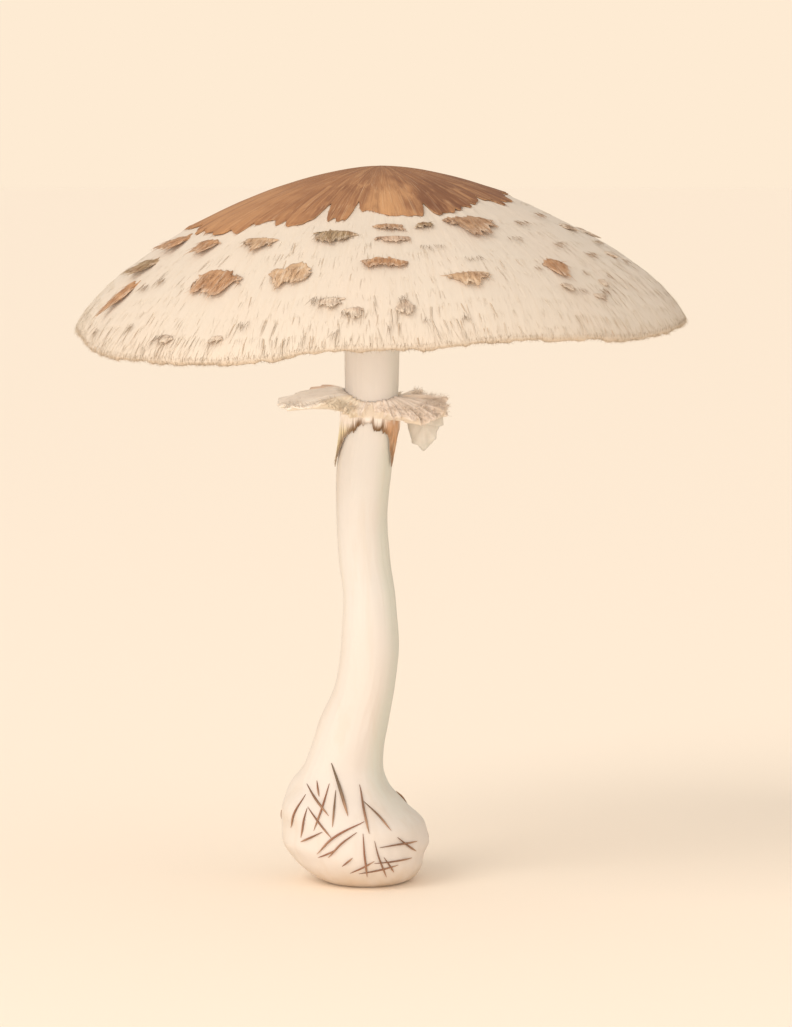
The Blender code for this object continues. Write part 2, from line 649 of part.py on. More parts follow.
def needle(path, thick, turned=False):
    """A dry needle bedded in the bulb's surface. A path in front is (across, height), a turned one (azimuth, height)."""
    path = np.array(path, float)
    along = np.concatenate([[0], np.cumsum(np.hypot(*np.diff(path, axis=0).T))])
    count = 4 if turned else max(3, min(5, int(along[-1] / 3.0) + 2))
    at = np.linspace(0, along[-1], count)
    u = np.interp(at, along, path[:, 0])
    z = np.interp(at, along, path[:, 1])
    across, _, radius = stem_at(z)
    if turned:
        angle = u
    else:
        angle = -np.degrees(np.arccos(np.clip((u - across) / radius, -0.999, 0.999)))
    spine = stem_point(z, angle)
    out = stem_point(z, angle, 1.0) - spine
    skin = Skin()
    before = None
    for i in range(count):
        ahead = spine[min(i + 1, count - 1)] - spine[max(i - 1, 0)]
        side = np.cross(ahead, out[i])
        side /= np.linalg.norm(side)
        half = thick / 2 * (0.75 if i in (0, count - 1) else 1.0)
        low = spine[i] - out[i] * 0.5
        top = spine[i] + out[i] * (half * 1.5 + (0.25 if i == 0 else 0.0))
        ring = skin.ring([low + side * half * 1.4, top, low - side * half * 1.4])
        if before is None:
            skin.faces.append((ring[0], ring[1], ring[2]))
        else:
            skin.band(before, ring)
        before = ring
    skin.faces.append((before[0], before[2], before[1]))
    return skin.build("needle")


def make_ring():
    rng = np.random.default_rng(RING_SEED)
    count = RING_SECTORS
    angle = np.arange(count) * 360 / count
    fray = tufts(rng, count, (2, 2, 3)) - 0.5
    fray2 = tufts(rng, count, (2, 3)) - 0.5
    rim_r = around(SKIRT, angle, 1)
    rim_z = around(SKIRT, angle, 2)
    wide = np.clip((rim_r - 8.5) / 6, 0, 1)
    rim_r = rim_r + 1.6 * fray * (0.35 + 0.65 * wide)
    rim_z = rim_z + 1.3 * fray2 * wide
    top_z = around(RING_TOP, angle) + 0.5 * fray
    low_z = around(SLEEVE, angle) + 0.9 * fray2
    join_z = np.minimum(around(SKIRT_ROOT, angle), top_z - 2.4)
    rows = []

    def hug(z, out):
        """A point at this distance off the stem."""
        return stem_point(z, angle, out)

    def skirt(part, z):
        """A point this part of the way from the stem to the skirt's rim."""
        start = hug(z, RING_GAP + SLEEVE_THICK)
        x = RING_MIDDLE + rim_r * np.cos(np.radians(angle))
        y = rim_r * np.sin(np.radians(angle))
        return np.stack([start[:, 0] * (1 - part) + x * part, start[:, 1] * (1 - part) + y * part, z], axis=-1)

    puff = 0.5 * waves(rng, angle, ((9, 0.5), (14, 0.5), (21, 0.4)))
    rows.append(hug(top_z, RING_GAP))
    rows.append(skirt(0.5, top_z * 0.45 + rim_z * 0.55 + (0.5 + puff) * wide + 0.1))
    rows.append(skirt(1.0, rim_z + 0.45))
    rows.append(skirt(0.97, rim_z - 0.75))
    rows.append(skirt(0.5, np.minimum(top_z * 0.3 + rim_z * 0.7 - 1.0 + puff * wide, rows[1][:, 2] - 1.0)))
    rows.append(hug(join_z, RING_GAP + SLEEVE_THICK))
    low = np.minimum(low_z, join_z - 1.0)
    rows.append(hug(low + 0.2, RING_GAP + SLEEVE_THICK - 0.1))
    rows.append(hug(low, RING_GAP + 0.1))
    rows.append(hug(low * 0.5 + top_z * 0.5, RING_GAP))
    skin = Skin()
    rings = [skin.ring(row) for row in rows]
    for a, b in zip(rings, rings[1:] + rings[:1]):
        skin.band(a, b)
    ring = skin.build("ring", COLOURS["ring"])
    flap = Skin()
    sheets = []
    middle = (14.4, 113.6)
    for back in (0.0, FLAP_THICK):
        points = [(middle[0], 4.6 + back, middle[1])]
        for i, (x, z) in enumerate(FLAP):
            points.append((x, 4.2 + back + 0.8 * math.sin(i * 1.9) + (x - 14) * -0.12, z))
        sheets.append(flap.ring(points))
    front, rear = sheets
    flap.fan(front[0], front[1:])
    flap.fan(rear[0], rear[1:])
    flap.band(front[1:], rear[1:])
    fuse(ring, [flap.build("flap")])
    shade(ring, 45.0)


def main():
    for obj in list(bpy.data.objects):
        bpy.data.objects.remove(obj)
    make_cap()
    make_crown()
    make_stem()
    make_ring()


main()
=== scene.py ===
"""Looks of the shaggy parasol mushroom: what covers and finishes its cap, crown, ring, stem and bulb.

Lengths are in millimetres and angles in degrees, and each mesh is made in metres.
Z is up, +X is the right-hand side and -Y is the front.
"""

import itertools
import json
import math

import bpy
import numpy as np
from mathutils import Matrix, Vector

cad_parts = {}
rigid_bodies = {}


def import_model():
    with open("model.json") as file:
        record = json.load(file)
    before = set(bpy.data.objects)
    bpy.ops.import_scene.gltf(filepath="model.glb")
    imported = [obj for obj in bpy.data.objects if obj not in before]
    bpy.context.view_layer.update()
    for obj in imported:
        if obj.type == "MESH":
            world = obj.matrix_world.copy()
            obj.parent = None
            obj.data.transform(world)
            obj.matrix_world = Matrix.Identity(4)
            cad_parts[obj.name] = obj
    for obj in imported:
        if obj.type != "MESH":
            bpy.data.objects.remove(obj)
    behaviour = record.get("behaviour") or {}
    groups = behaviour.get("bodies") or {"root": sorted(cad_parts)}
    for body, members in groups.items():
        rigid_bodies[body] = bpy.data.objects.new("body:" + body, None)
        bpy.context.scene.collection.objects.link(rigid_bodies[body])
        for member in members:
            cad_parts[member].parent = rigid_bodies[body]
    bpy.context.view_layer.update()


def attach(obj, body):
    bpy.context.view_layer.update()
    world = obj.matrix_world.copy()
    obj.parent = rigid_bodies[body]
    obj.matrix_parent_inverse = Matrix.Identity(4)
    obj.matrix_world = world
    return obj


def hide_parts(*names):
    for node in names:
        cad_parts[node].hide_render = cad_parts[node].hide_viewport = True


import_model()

# Cap, as in the solids
CAP_RADIUS = 75.1
CAP_RISE = 39.6
CAP_ROUNDING = (1.62, 0.735)
CAP_MIDDLE = (3.74, 0.0, 137.8)
CAP_TILT = -0.6
CAP_SECTORS = 128
# The margin starts to droop this far from the axis, and droops fully this much farther out
DROOP_START = 40
DROOP_RUN = 33
CAP_SEED = 11
CROWN_EDGE = (
    (0, 31.0), (14, 34.5), (24, 31.5), (40, 36.5), (52, 34.0), (68, 39.0), (80, 35.5), (96, 41.5),
    (108, 38.0), (122, 43.0), (136, 40.0), (150, 45.5), (163, 43.5), (176, 47.5), (186, 47.5),
    (194, 45.0), (203, 47.0), (216, 47.0), (226, 44.5), (232, 42.0), (239, 43.5), (246, 42.5),
    (250, 37.0), (254, 41.0), (258, 41.0), (262, 36.5), (269, 38.5), (275, 40.0), (282, 39.6),
    (288, 37.6), (294, 39.5), (301, 37.0), (308, 36.0), (318, 32.6), (327, 34.6), (336, 33.4),
    (348, 30.0),
)
# Sharp notches in the crown's edge: azimuth, depth, half its width in degrees
CROWN_NOTCHES = (
    (204, 1.6, 1.0), (226, 2.4, 1.4), (238, 2.2, 1.3), (250, 4.2, 1.6), (255, 2.0, 1.0), (261.5, 4.4, 1.5),
    (288, 4.8, 1.7), (299, 1.8, 1.2), (309, 2.2, 1.4), (318, 2.6, 1.8), (330, 1.8, 1.5), (60, 3.0, 1.8),
    (82, 3.4, 1.6), (110, 3.0, 1.8), (141, 3.2, 1.5), (165, 2.2, 1.3), (10, 3.4, 16.0),
)
MARGIN_DROOP = (
    (0, -1.2), (20, 0.4), (45, 1.8), (70, 0.6), (95, -0.6), (118, 1.4), (140, 2.4), (162, 0.6),
    (180, -0.6), (190, -0.4), (202, 2.6), (214, 3.8), (234, 3.9), (250, 2.6), (258, 0.7), (266, 0.2),
    (277, 0.2), (285, -0.6), (293, -1.3), (305, -1.1), (323, 0.3), (338, -0.5), (350, -1.2),
)
# Points round the cap, the hair's skin on it, the stem, the ring and the floor
CAP_STEPS = 512
SHAG_STEPS = 420
STEM_STEPS = 160
RING_STEPS = 480
FLOOR_STEPS = 64
# Share of a turn from one scattered thing to the next, so that they never line up
GOLDEN_SHARE = 0.618
BACK_SCALES = 16
BACK_SEED = 7

# Scales in front: arc radius, azimuth, width, length, lift, teeth, tone
FRONT_SCALES = (
    (52.0, 198, 7.0, 8.0, 1.7, 2, "rust"), (51.2, 216, 8.5, 6.5, 1.7, 2, "rust"),
    (49.4, 235, 9.0, 4.5, 1.3, 2, "tan"), (47.6, 257, 12.0, 5.8, 1.4, 3, "olive"),
    (44.6, 273, 7.5, 4.6, 1.2, 1, "umber"), (49.2, 274, 9.5, 3.8, 1.0, 2, "rosy"),
    (44.0, 284, 5.0, 3.8, 1.2, 1, "olive"), (44.0, 300, 14.0, 9.4, 1.7, 3, "umber"),
    (59.8, 230, 16.0, 8.6, 1.7, 3, "rust"), (59.2, 249, 11.0, 8.0, 1.5, 2, "tan"),
    (57.0, 271, 11.0, 4.0, 1.2, 2, "rust"), (63.0, 289, 12.0, 5.4, 1.4, 3, "tan"),
    (60.0, 314, 7.6, 7.6, 1.5, 2, "rust"), (66.4, 200, 5.0, 11.0, 1.4, 1, "rust"),
    (59.6, 197, 6.0, 7.0, 1.6, 1, "olive"), (67.2, 260, 7.5, 3.6, 1.2, 2, "felt"),
    (69.6, 265, 4.6, 3.4, 1.2, 1, "felt"), (68.6, 275, 4.4, 5.0, 1.5, 1, "felt"),
    (66.0, 312, 3.8, 3.2, 1.2, 1, "felt"), (68.0, 320, 5.0, 3.0, 1.2, 1, "felt"),
    (64.5, 325, 3.6, 3.0, 1.1, 1, "felt"), (72.4, 226, 5.0, 3.2, 1.1, 1, "felt"),
    (72.2, 238, 4.4, 2.8, 1.0, 1, "felt"), (47.0, 345, 6.5, 4.6, 0.8, 2, "felt"),
    (58.0, 343, 4.0, 3.4, 0.7, 1, "felt"),
)
BACK_TONES = ("rust", "tan", "umber", "olive", "rust", "felt")

# Dark wisps of hair on the pale felt: arc radius, azimuth, spread, reach, how brown
WISPS = (
    (66.0, 257.5, 3.4, 2.6, 0.35), (66.4, 260.6, 3.0, 2.2, 0.3), (69.6, 263.8, 3.0, 1.6, 0.4),
    (66.6, 274.4, 1.6, 4.4, 0.35), (72.2, 224.0, 2.4, 3.2, 0.4), (73.0, 201.0, 3.4, 2.4, 0.3),
    (71.6, 286.0, 2.0, 1.8, 0.3), (71.2, 278.5, 1.8, 1.6, 0.3), (65.6, 311.5, 2.6, 2.6, 0.55),
    (66.6, 315.2, 2.6, 1.8, 0.5), (66.8, 322.0, 3.2, 2.0, 0.6), (61.8, 321.5, 1.8, 1.6, 0.5),
    (63.2, 328.5, 1.8, 1.8, 0.5), (60.8, 307.0, 1.6, 1.8, 0.6), (57.2, 292.5, 4.6, 1.2, 0.3),
    (52.2, 283.5, 6.0, 1.4, 0.3), (72.4, 271.5, 1.6, 3.6, 0.35), (73.0, 262.0, 2.0, 2.8, 0.3),
    (60.4, 211.0, 3.6, 2.2, 0.5), (62.6, 206.5, 3.4, 2.4, 0.5), (41.4, 337.5, 4.0, 2.4, 0.8),
    (47.4, 342.5, 4.6, 1.8, 0.6), (54.0, 345.0, 4.6, 1.5, 0.5), (61.0, 345.0, 4.0, 1.3, 0.45),
    (44.0, 319.5, 5.0, 2.0, 0.6), (52.6, 323.5, 4.6, 2.2, 0.65), (56.8, 331.0, 4.4, 2.2, 0.7),
    (50.5, 309.0, 4.0, 1.6, 0.5), (69.5, 243.0, 3.0, 2.0, 0.35), (70.5, 213.0, 3.0, 2.2, 0.35),
)
BACK_WISPS = 26

# Underside of the flesh: arc length, thickness of the flesh, depth of long and of short gills
UNDERSIDE = (
    (9.6, 9.4, 8.0, 0.0), (22.5, 8.4, 13.2, 0.0), (39.0, 6.2, 13.0, 0.0), (50.0, 5.0, 11.0, 3.2),
    (69.0, 3.9, 5.4, 3.8), (82.6, 3.3, 0.9, 0.7),
)
GILL_PAIRS = 150
GILL_END = 83.4
WELL_RADIUS = 9.0
SOCKET_RADIUS = 7.3
SOCKET_TOP = 31.8
FLESH_UNDER_CROWN = -1.5
LIP_THICKNESS = 2.9
# Rows of overlapping locks in the felt: length of a row, locks in a turn
LOCK_ROW = 4.8
LOCKS_ROUND = 170
# Arc lengths between which the felt's hair makes its upper, middle and lower piece
HAIR_ZONES = (0.0, 62.0, 77.0, 99.0)

# Stem and bulb: height, middle across, middle in depth, radius
STEM = (
    (0.0, 0.0, 0.0, 9.6), (0.9, -0.1, 0.0, 11.6), (3.0, -0.8, 0.1, 14.2), (6.6, -1.9, 0.2, 16.7),
    (10.4, -2.8, 0.3, 17.9), (14.4, -3.3, 0.4, 17.6), (19.2, -5.4, 0.6, 15.4), (24.2, -6.5, 0.8, 12.1),
    (29.5, -5.6, 1.0, 9.8), (39.8, -3.0, 1.4, 8.5), (49.8, -0.1, 1.6, 7.5), (60.0, 1.05, 1.5, 7.2),
    (70.2, 0.85, 1.2, 6.6), (80.9, -0.6, 0.7, 6.3), (91.1, -1.15, 0.2, 6.4), (103.8, -0.35, -0.3, 6.8),
    (112.4, 0.85, -0.6, 6.35), (121.0, 1.4, -0.7, 6.5), (131.2, 1.5, -0.6, 6.7), (150.0, 2.3, -0.2, 6.7),
    (168.8, 3.4, 0.0, 6.6),
)
STEM_SEED = 5
# Heights between which the stem swells unevenly, where the bulb ends, and of one more ring in the solid
LUMPY = (6, 100)
BULB_TOP = 26
EXTRA_RING = 34.5

# Needles on the bulb in front: paths of (across, height), thickness, how grey
NEEDLES = (
    (((-8.4, 30.8), (-7.1, 27.1), (-4.4, 18.8)), 1.5, 0.9),
    (((-7.4, 24.6), (-7.8, 20.3), (-8.2, 16.2)), 0.9, 0.75),
    (((-14.8, 25.4), (-12.2, 22.3), (-9.1, 18.7)), 1.1, 0.55),
    (((-9.0, 26.0), (-10.7, 20.6), (-12.8, 15.0)), 0.9, 0.2), (((-12.1, 26.5), (-11.5, 22.9)), 0.8, 0.3),
    (((-15.0, 23.1), (-16.9, 19.1), (-18.8, 14.6)), 0.9, 0.3),
    (((-14.3, 20.2), (-15.2, 16.6), (-16.1, 12.8)), 0.9, 0.35),
    (((-14.2, 20.5), (-11.4, 17.0), (-8.3, 13.4)), 0.9, 0.4),
    (((-0.4, 17.5), (-5.0, 15.5), (-8.4, 13.3), (-12.1, 9.2)), 1.0, 0.1),
    (((-10.7, 14.9), (-16.1, 11.8)), 0.9, 0.4), (((-2.2, 15.1), (-6.0, 12.3), (-9.2, 8.6)), 0.9, 0.3),
    (((-11.8, 8.3), (-9.5, 9.5), (-6.9, 11.0)), 0.8, 0.15),
    (((-1.7, 25.7), (-0.7, 20.4), (0.8, 14.7)), 1.1, 0.5),
    (((-0.6, 21.9), (3.2, 18.4), (6.0, 15.1)), 0.9, 0.7),
    (((-0.7, 14.8), (-0.4, 9.9), (0.3, 3.5)), 0.9, 0.2),
    (((7.6, 13.3), (10.4, 10.8), (12.4, 9.0)), 0.9, 0.5),
    (((3.4, 11.2), (8.0, 11.5), (12.6, 11.4)), 0.9, 0.5), (((2.1, 12.9), (3.3, 8.0), (5.0, 3.2)), 0.8, 0.5),
    (((4.4, 8.7), (6.8, 4.4)), 0.8, 0.5), (((-3.8, 4.6), (2.0, 7.9)), 0.8, 0.3),
    (((-1.7, 4.5), (7.9, 6.3)), 0.8, 0.35), (((2.0, 7.3), (11.4, 7.5)), 0.8, 0.4),
    (((-5.7, 6.5), (-3.2, 8.9)), 0.8, 0.3),
)
BACK_NEEDLES = 8
NEEDLE_POINTS = 15
# A needle's radius where it is thickest, as a share of its thickness in the table
NEEDLE_SHARE = 0.27

# Ring, with the directions of its frilled side, its tuft, its rosy fold and its curled rim
RING_MIDDLE = 1.0
RING_SECTORS = 84
RING_SEED = 23
RING_GAP = 0.35
SLEEVE_THICK = 0.75
SLEEVE_RADIUS = 7.5
FRILLED_SIDE = 322
TUFT_SIDE = 236
ROSY_SIDE = 146
CURLED_SIDE = 212
# Heights between which the sleeve turns to the tails' colour, and to orange on the frilled side
TAIL_START = (114.5, 112.0)
ORANGE_START = (116.6, 115.2)
# Small curls that stand up on the skirt's rim: azimuth, rise
RIM_CURLS = ((10, 1.6), (31, 1.5), (51, 1.6), (206, 0.7))
# Torn skirt's rim: azimuth, reach from the stem's axis, height
SKIRT = (
    (0, 18.8, 117.8), (6, 17.6, 119.9), (13, 17.2, 118.3), (20, 15.4, 118.6), (27, 15.0, 121.0),
    (35, 14.4, 118.5), (48, 12.8, 118.5), (59, 13.0, 121.0), (68, 12.0, 118.6), (82, 11.8, 118.2),
    (95, 13.0, 117.8), (108, 12.2, 118.8), (124, 13.6, 119.8), (136, 14.2, 120.4), (142, 14.8, 122.0),
    (149, 16.4, 121.9), (155, 17.8, 121.0), (166, 20.2, 120.5), (176, 22.9, 119.7), (186, 23.3, 119.1),
    (196, 22.4, 119.0), (206, 20.6, 118.4), (214, 17.4, 119.2), (223, 14.0, 119.9),
    (232, 11.2, 118.4), (244, 10.6, 117.2), (256, 10.0, 117.4), (266, 8.6, 118.8), (276, 8.5, 118.2),
    (288, 9.6, 117.6), (300, 12.0, 116.8), (312, 14.6, 116.0), (325, 17.6, 115.6), (338, 19.4, 116.2),
    (350, 19.2, 117.2),
)
# Heights round the ring, by azimuth: its top, the skirt's root and the sleeve's lower edge
RING_TOP = (
    (0, 120.8), (40, 120.8), (90, 121.0), (140, 122.0), (180, 122.6), (215, 121.6), (245, 120.4),
    (270, 120.0), (300, 120.4), (330, 121.0),
)
SKIRT_ROOT = (
    (0, 115.8), (40, 116.2), (90, 116.2), (130, 117.0), (155, 118.2), (185, 118.2), (205, 118.0),
    (222, 117.5), (236, 116.4), (250, 116.0), (300, 115.6), (340, 115.6),
)
SLEEVE = (
    (0, 111.6), (20, 112.6), (45, 110.8), (70, 113.4), (95, 112.0), (120, 110.6), (145, 113.0),
    (165, 111.4), (176, 110.0), (184, 105.6), (190, 103.8), (196, 105.4), (206, 109.4), (216, 111.6),
    (226, 112.2), (236, 112.4), (248, 114.2), (260, 114.6), (272, 115.0), (282, 112.6), (292, 113.0),
    (302, 112.2), (312, 111.6), (322, 108.4), (332, 104.6), (338, 104.2), (346, 109.0),
)
# Outline of the loose flap, across and in height, its middle, and how far behind the axis it hangs
FLAP_MIDDLE = (14.4, 113.6)
FLAP_BACK = 4.2
FLAP = (
    (9.8, 118.8), (10.4, 112.2), (11.3, 109.2), (12.6, 108.4), (14.2, 107.0), (15.9, 108.6),
    (17.3, 109.9), (17.9, 112.6), (19.2, 113.4), (18.8, 118.0), (14.5, 118.6),
)


def tone(red, green, blue):
    """A colour given as a painter sees it, from 0 to 255, made linear."""
    parts = np.array([red, green, blue]) / 255
    linear = np.where(parts <= 0.04045, parts / 12.92, ((parts + 0.055) / 1.055) ** 2.4)
    return tuple(float(x) for x in linear)


def tones(**colours):
    """Named colours, each given as a painter sees it."""
    return {name: tone(*colour) for name, colour in colours.items()}


CREAM = tone(214, 199, 182)
WARM_CREAM = tone(223, 203, 184)
BUFF = tone(210, 190, 167)
# An umber that paints shade at the roots of hairs
HAIR_ROOT_SHADE = tone(124, 98, 74)
PALE_HAIR_TIP = tone(240, 228, 212)
TONES = tones(
    rust=(193, 148, 109), tan=(212, 178, 142), umber=(195, 156, 121), olive=(170, 144, 110),
    rosy=(212, 182, 156), felt=(222, 204, 183),
)
CROWN_LIGHT = tone(199, 148, 102)
CROWN_MID = tone(160, 111, 74)
CROWN_DARK = tone(118, 74, 48)
WISP_TONES = tones(grey=(166, 150, 128), brown=(158, 118, 86))
GILL_TONES = tones(pale=(238, 224, 204), warm=(226, 204, 180), deep=(214, 190, 164))
# The right tone paints shade on the side away from the light, and the top tone paints light under the cap,
# where the cap shades the stem
STEM_TONES = tones(
    low=(220, 208, 197), tall=(223, 216, 208), top=(226, 218, 210), foot=(206, 182, 154),
    right=(212, 212, 199), left=(222, 210, 194), blotch=(226, 213, 202),
)
NEEDLE_TONES = tones(brown=(152, 102, 78), grey=(114, 100, 80), tip=(176, 138, 110), rib=(108, 80, 60))
# The grey tone paints shade on the ring's back and right, the under tone paints shade under the skirt, and
# the two flap tones paint the flap grey as shade
RING_TONES = tones(
    cream=(248, 240, 230), pink=(243, 226, 212), grey=(228, 216, 195), tuft=(246, 232, 208),
    rosy=(222, 186, 160), fold=(220, 197, 172), under=(214, 198, 174), curl=(172, 150, 122),
    sleeve=(240, 231, 222), tail=(206, 170, 134), pale_tail=(236, 221, 178), orange=(200, 153, 113),
    torn=(116, 86, 56), flap=(225, 219, 209), grey_flap=(206, 200, 189),
)
BACKDROP = tone(254, 235, 211)
FLOOR = tone(254, 238, 219)
ROOM_LIGHT = (1.0, 0.96, 0.905)
# The floor's inner radius, hidden under the bulb, and its outer one
FLOOR_REACH = (9.0, 6000.0)
# Camera: the point it looks at, its distance in metres and how far it looks down
LOOK_AT = (7.40, 0.0, 91.74)
CAMERA_DISTANCE = 1.0557
CAMERA_RISE = 6
# Hair finishes: colour at the root, darker than the tip to paint shade where the hairs meet the skin, colour
# at the tip, odd colour and how many hairs have it
HAIR_TONES = {
    "pale_locks": ((209, 186, 160), (217, 199, 178), (199, 172, 142), 0.35),
    "pale_hair": ((206, 189, 168), (217, 203, 184), (197, 179, 155), 0.2),
    "margin_hair": ((192, 170, 144), (216, 197, 175), (156, 137, 112), 0.35),
}
# How each kind of hair grows: the inputs of its tree, and a value for each
GROWTH_INPUTS = ("Seed", "Per_Square_Metre", "Shortest", "Longest", "Width", "Sway", "Lift", "Streams")
FELT_HAIR = (1.3e6, 2.0, 5.0, 0.5, 13.0, 1.0, 150.0)
GROWTH = {
    "scale_fringe": (3, 2.6e6, 1.0, 3.2, 0.5, 24.0, 2.0, 300.0),
    "dark_wisps": (5, 3.4e6, 0.8, 1.5, 0.5, 30.0, 5.0, 400.0),
    "felt_locks": (21, 2.2e5, 4.0, 9.0, 0.52, 12.0, 0.1, 90.0),
    "felt_hair_upper": (22, *FELT_HAIR),
    "felt_hair_middle": (23, *FELT_HAIR),
    "felt_hair_lower": (24, *FELT_HAIR),
    "margin_fringe": (25, 4.2e6, 0.7, 1.7, 0.45, 32.0, 4.0, 250.0),
    "crown_fringe": (31, 4.0e6, 0.5, 1.6, 0.5, 18.0, 3.0, 250.0),
    "ring_fluff": (41, 5.6e6, 0.6, 1.7, 0.5, 80.0, 14.0, 500.0),
    "sleeve_fringe": (42, 2.6e6, 0.4, 1.1, 0.3, 40.0, 4.0, 500.0),
}
# How light the crown is round its edge, by azimuth: partly painted light and shade, lighter at the left and
# front and darker at the right, and partly the skin's own uneven colour
CROWN_SHADE = (
    (0, 0.12), (40, 0.3), (90, 0.5), (140, 0.55), (180, 0.62), (200, 0.8), (215, 0.7), (228, 0.6),
    (240, 0.42), (250, 0.5), (257, 0.3), (264, 0.75), (271, 0.95), (278, 0.85), (284, 0.25), (293, 0.1),
    (305, 0.05), (320, 0.15), (338, 0.2),
)
# How dark the ring's lower torn edge is, by azimuth
TORN_DARK = (
    (0, 0.5), (60, 0.4), (120, 0.5), (175, 0.6), (200, 0.95), (225, 0.9), (245, 1.0), (257, 0.5), (267, 0.1),
    (277, 0.9), (292, 1.0), (305, 0.7), (320, 0.55), (334, 0.9), (348, 0.9),
)


def around(table, angle, column=1):
    """A value of the table at each angle in degrees, smooth all the way round."""
    rows = sorted(table)
    turns = np.array([row[0] for row in rows], float)
    values = np.array([row[column] for row in rows], float)
    turns = np.concatenate([turns[-2:] - 360, turns, turns[:2] + 360])
    values = np.concatenate([values[-2:], values, values[:2]])
    return smooth(turns, values, np.mod(angle, 360))


def smooth(xs, ys, x):
    """Cubic curve through the points that keeps each of their peaks."""
    xs = np.asarray(xs, float)
    ys = np.asarray(ys, float)
    x = np.clip(np.asarray(x, float), xs[0], xs[-1])
    steps = np.diff(ys) / np.diff(xs)
    slope = np.zeros(len(xs))
    same = steps[:-1] * steps[1:] > 0
    slope[1:-1][same] = 2 * steps[:-1][same] * steps[1:][same] / (steps[:-1] + steps[1:])[same]
    slope[0] = steps[0]
    slope[-1] = steps[-1]
    i = np.clip(np.searchsorted(xs, x, side="right") - 1, 0, len(xs) - 2)
    wide = xs[i + 1] - xs[i]
    t = (x - xs[i]) / wide
    a = (1 + 2 * t) * (1 - t) ** 2
    b = t * (1 - t) ** 2
    c = t * t * (3 - 2 * t)
    d = t * t * (t - 1)
    return a * ys[i] + b * wide * slope[i] + c * ys[i + 1] + d * wide * slope[i + 1]


def waves(rng, angle, sizes):
    """Closed noise round the axis: sizes holds a height for each number of waves in a turn."""
    total = np.zeros(len(angle))
    for count, size in sizes:
        total += size * np.sin(np.radians(angle) * count + rng.uniform(0, 2 * math.pi))
    return total


def tufts(rng, count, widths):
    """How far each sector lies from the gap between two tufts (0) to a tuft's tip (up to 1)."""
    shape = np.zeros(count)
    at = int(rng.integers(0, count))
    left = count
    while left > 0:
        wide = min(int(rng.choice(widths)), left)
        strong = rng.uniform(0.3, 1.0)
        for step in range(wide):
            shape[(at + step) % count] = strong * math.sin(math.pi * (step + 0.15) / (wide + 0.15))
        at += wide
        left -= wide
    return shape


def cloud(seed, *axes):
    """Smooth noise from -1 to 1 over up to three axes, about one bump to a unit, with a seed for each use."""
    table = np.random.default_rng(seed).uniform(-1, 1, 4093)
    axes = np.broadcast_arrays(*axes)
    cells = [np.floor(axis).astype(np.int64) for axis in axes]
    parts = [axis - cell for axis, cell in zip(axes, cells)]
    parts = [part * part * (3 - 2 * part) for part in parts]
    total = 0.0
    for corner in itertools.product((0, 1), repeat=len(axes)):
        share = 1.0
        key = 0
        for cell, part, step, stride in zip(cells, parts, corner, (1, 73, 1283)):
            share = share * (part if step else 1 - part)
            key = key + (cell + step) * stride
        total = total + share * table[key % len(table)]
    return total


def turning(seed, angle, bumps, *more):
    """Noise that closes on itself round the axis, with about this many bumps in a turn."""
    reach = bumps / (2 * math.pi)
    return cloud(seed, reach * np.cos(np.radians(angle)), reach * np.sin(np.radians(angle)), *more)


def ease(x, low, high):
    """Smooth step from 0 at low to 1 at high."""
    t = np.clip((np.asarray(x, float) - low) / (high - low), 0, 1)
    return t * t * (3 - 2 * t)


def mixed(a, b, share):
    """Colours between a and b, by each point's share of b."""
    share = np.clip(np.asarray(share, float), 0, 1)[..., None]
    return np.asarray(a) * (1 - share) + np.asarray(b) * share


def sectors(count):
    """Evenly spaced angles in degrees, all the way round."""
    return np.arange(count) * 360 / count


def apart(angle, azimuth):
    """Degrees between two directions, the short way round."""
    return np.abs((angle - azimuth + 180) % 360 - 180)


def refined(values, angle):
    """Values at evenly spaced sectors, read smoothly at any angle."""
    return around(list(zip(sectors(len(values)), values)), angle)


class Dome:
    """The cap's outline, walked by arc length from the apex, with offsets along its normal."""

    def __init__(self):
        turn = np.linspace(0, math.pi / 2, 3001)
        self.r = CAP_RADIUS * np.sin(turn)
        inside = np.clip(1 - (self.r / CAP_RADIUS) ** CAP_ROUNDING[0], 0, 1)
        self.z = CAP_RISE * inside ** CAP_ROUNDING[1]
        steps = np.hypot(np.diff(self.r), np.diff(self.z))
        self.s = np.concatenate([[0], np.cumsum(steps)])
        self.length = float(self.s[-1])
        self.tr = np.gradient(self.r, self.s)
        self.tz = np.gradient(self.z, self.s)

    def arc(self, r):
        """Arc length from the apex at a distance from the axis."""
        return np.interp(r, self.r, self.s)

    def at(self, s, out):
        """Distance from the axis and height of a point, also below the dome's edge."""
        s = np.asarray(s, float)
        below = np.maximum(s - self.length, 0)
        tr = np.interp(s, self.s, self.tr)
        tz = np.interp(s, self.s, self.tz)
        size = np.hypot(tr, tz)
        r = np.interp(s, self.s, self.r) - tz / size * out - 0.12 * below
        z = np.interp(s, self.s, self.z) + tr / size * out - below
        return r, z


DOME = Dome()


def on_cap(r, angle, z):
    """Points in the cap's own frame, its margin drooping and its axis tilted, as points of the part."""
    r, angle, z = np.broadcast_arrays(np.asarray(r, float), angle, z)
    reach = np.clip((r - DROOP_START) / DROOP_RUN, 0, 1)
    z = z - around(MARGIN_DROOP, angle) * reach * reach * (3 - 2 * reach)
    x = r * np.cos(np.radians(angle))
    y = r * np.sin(np.radians(angle))
    turn = math.radians(CAP_TILT)
    return np.stack([
        CAP_MIDDLE[0] + x * math.cos(turn) + z * math.sin(turn),
        CAP_MIDDLE[1] + y,
        CAP_MIDDLE[2] - x * math.sin(turn) + z * math.cos(turn),
    ], axis=-1)


def on_dome(s, angle, out):
    """Points at an arc length from the apex and a distance off the dome."""
    r, z = DOME.at(s, out)
    return on_cap(r, angle, z)


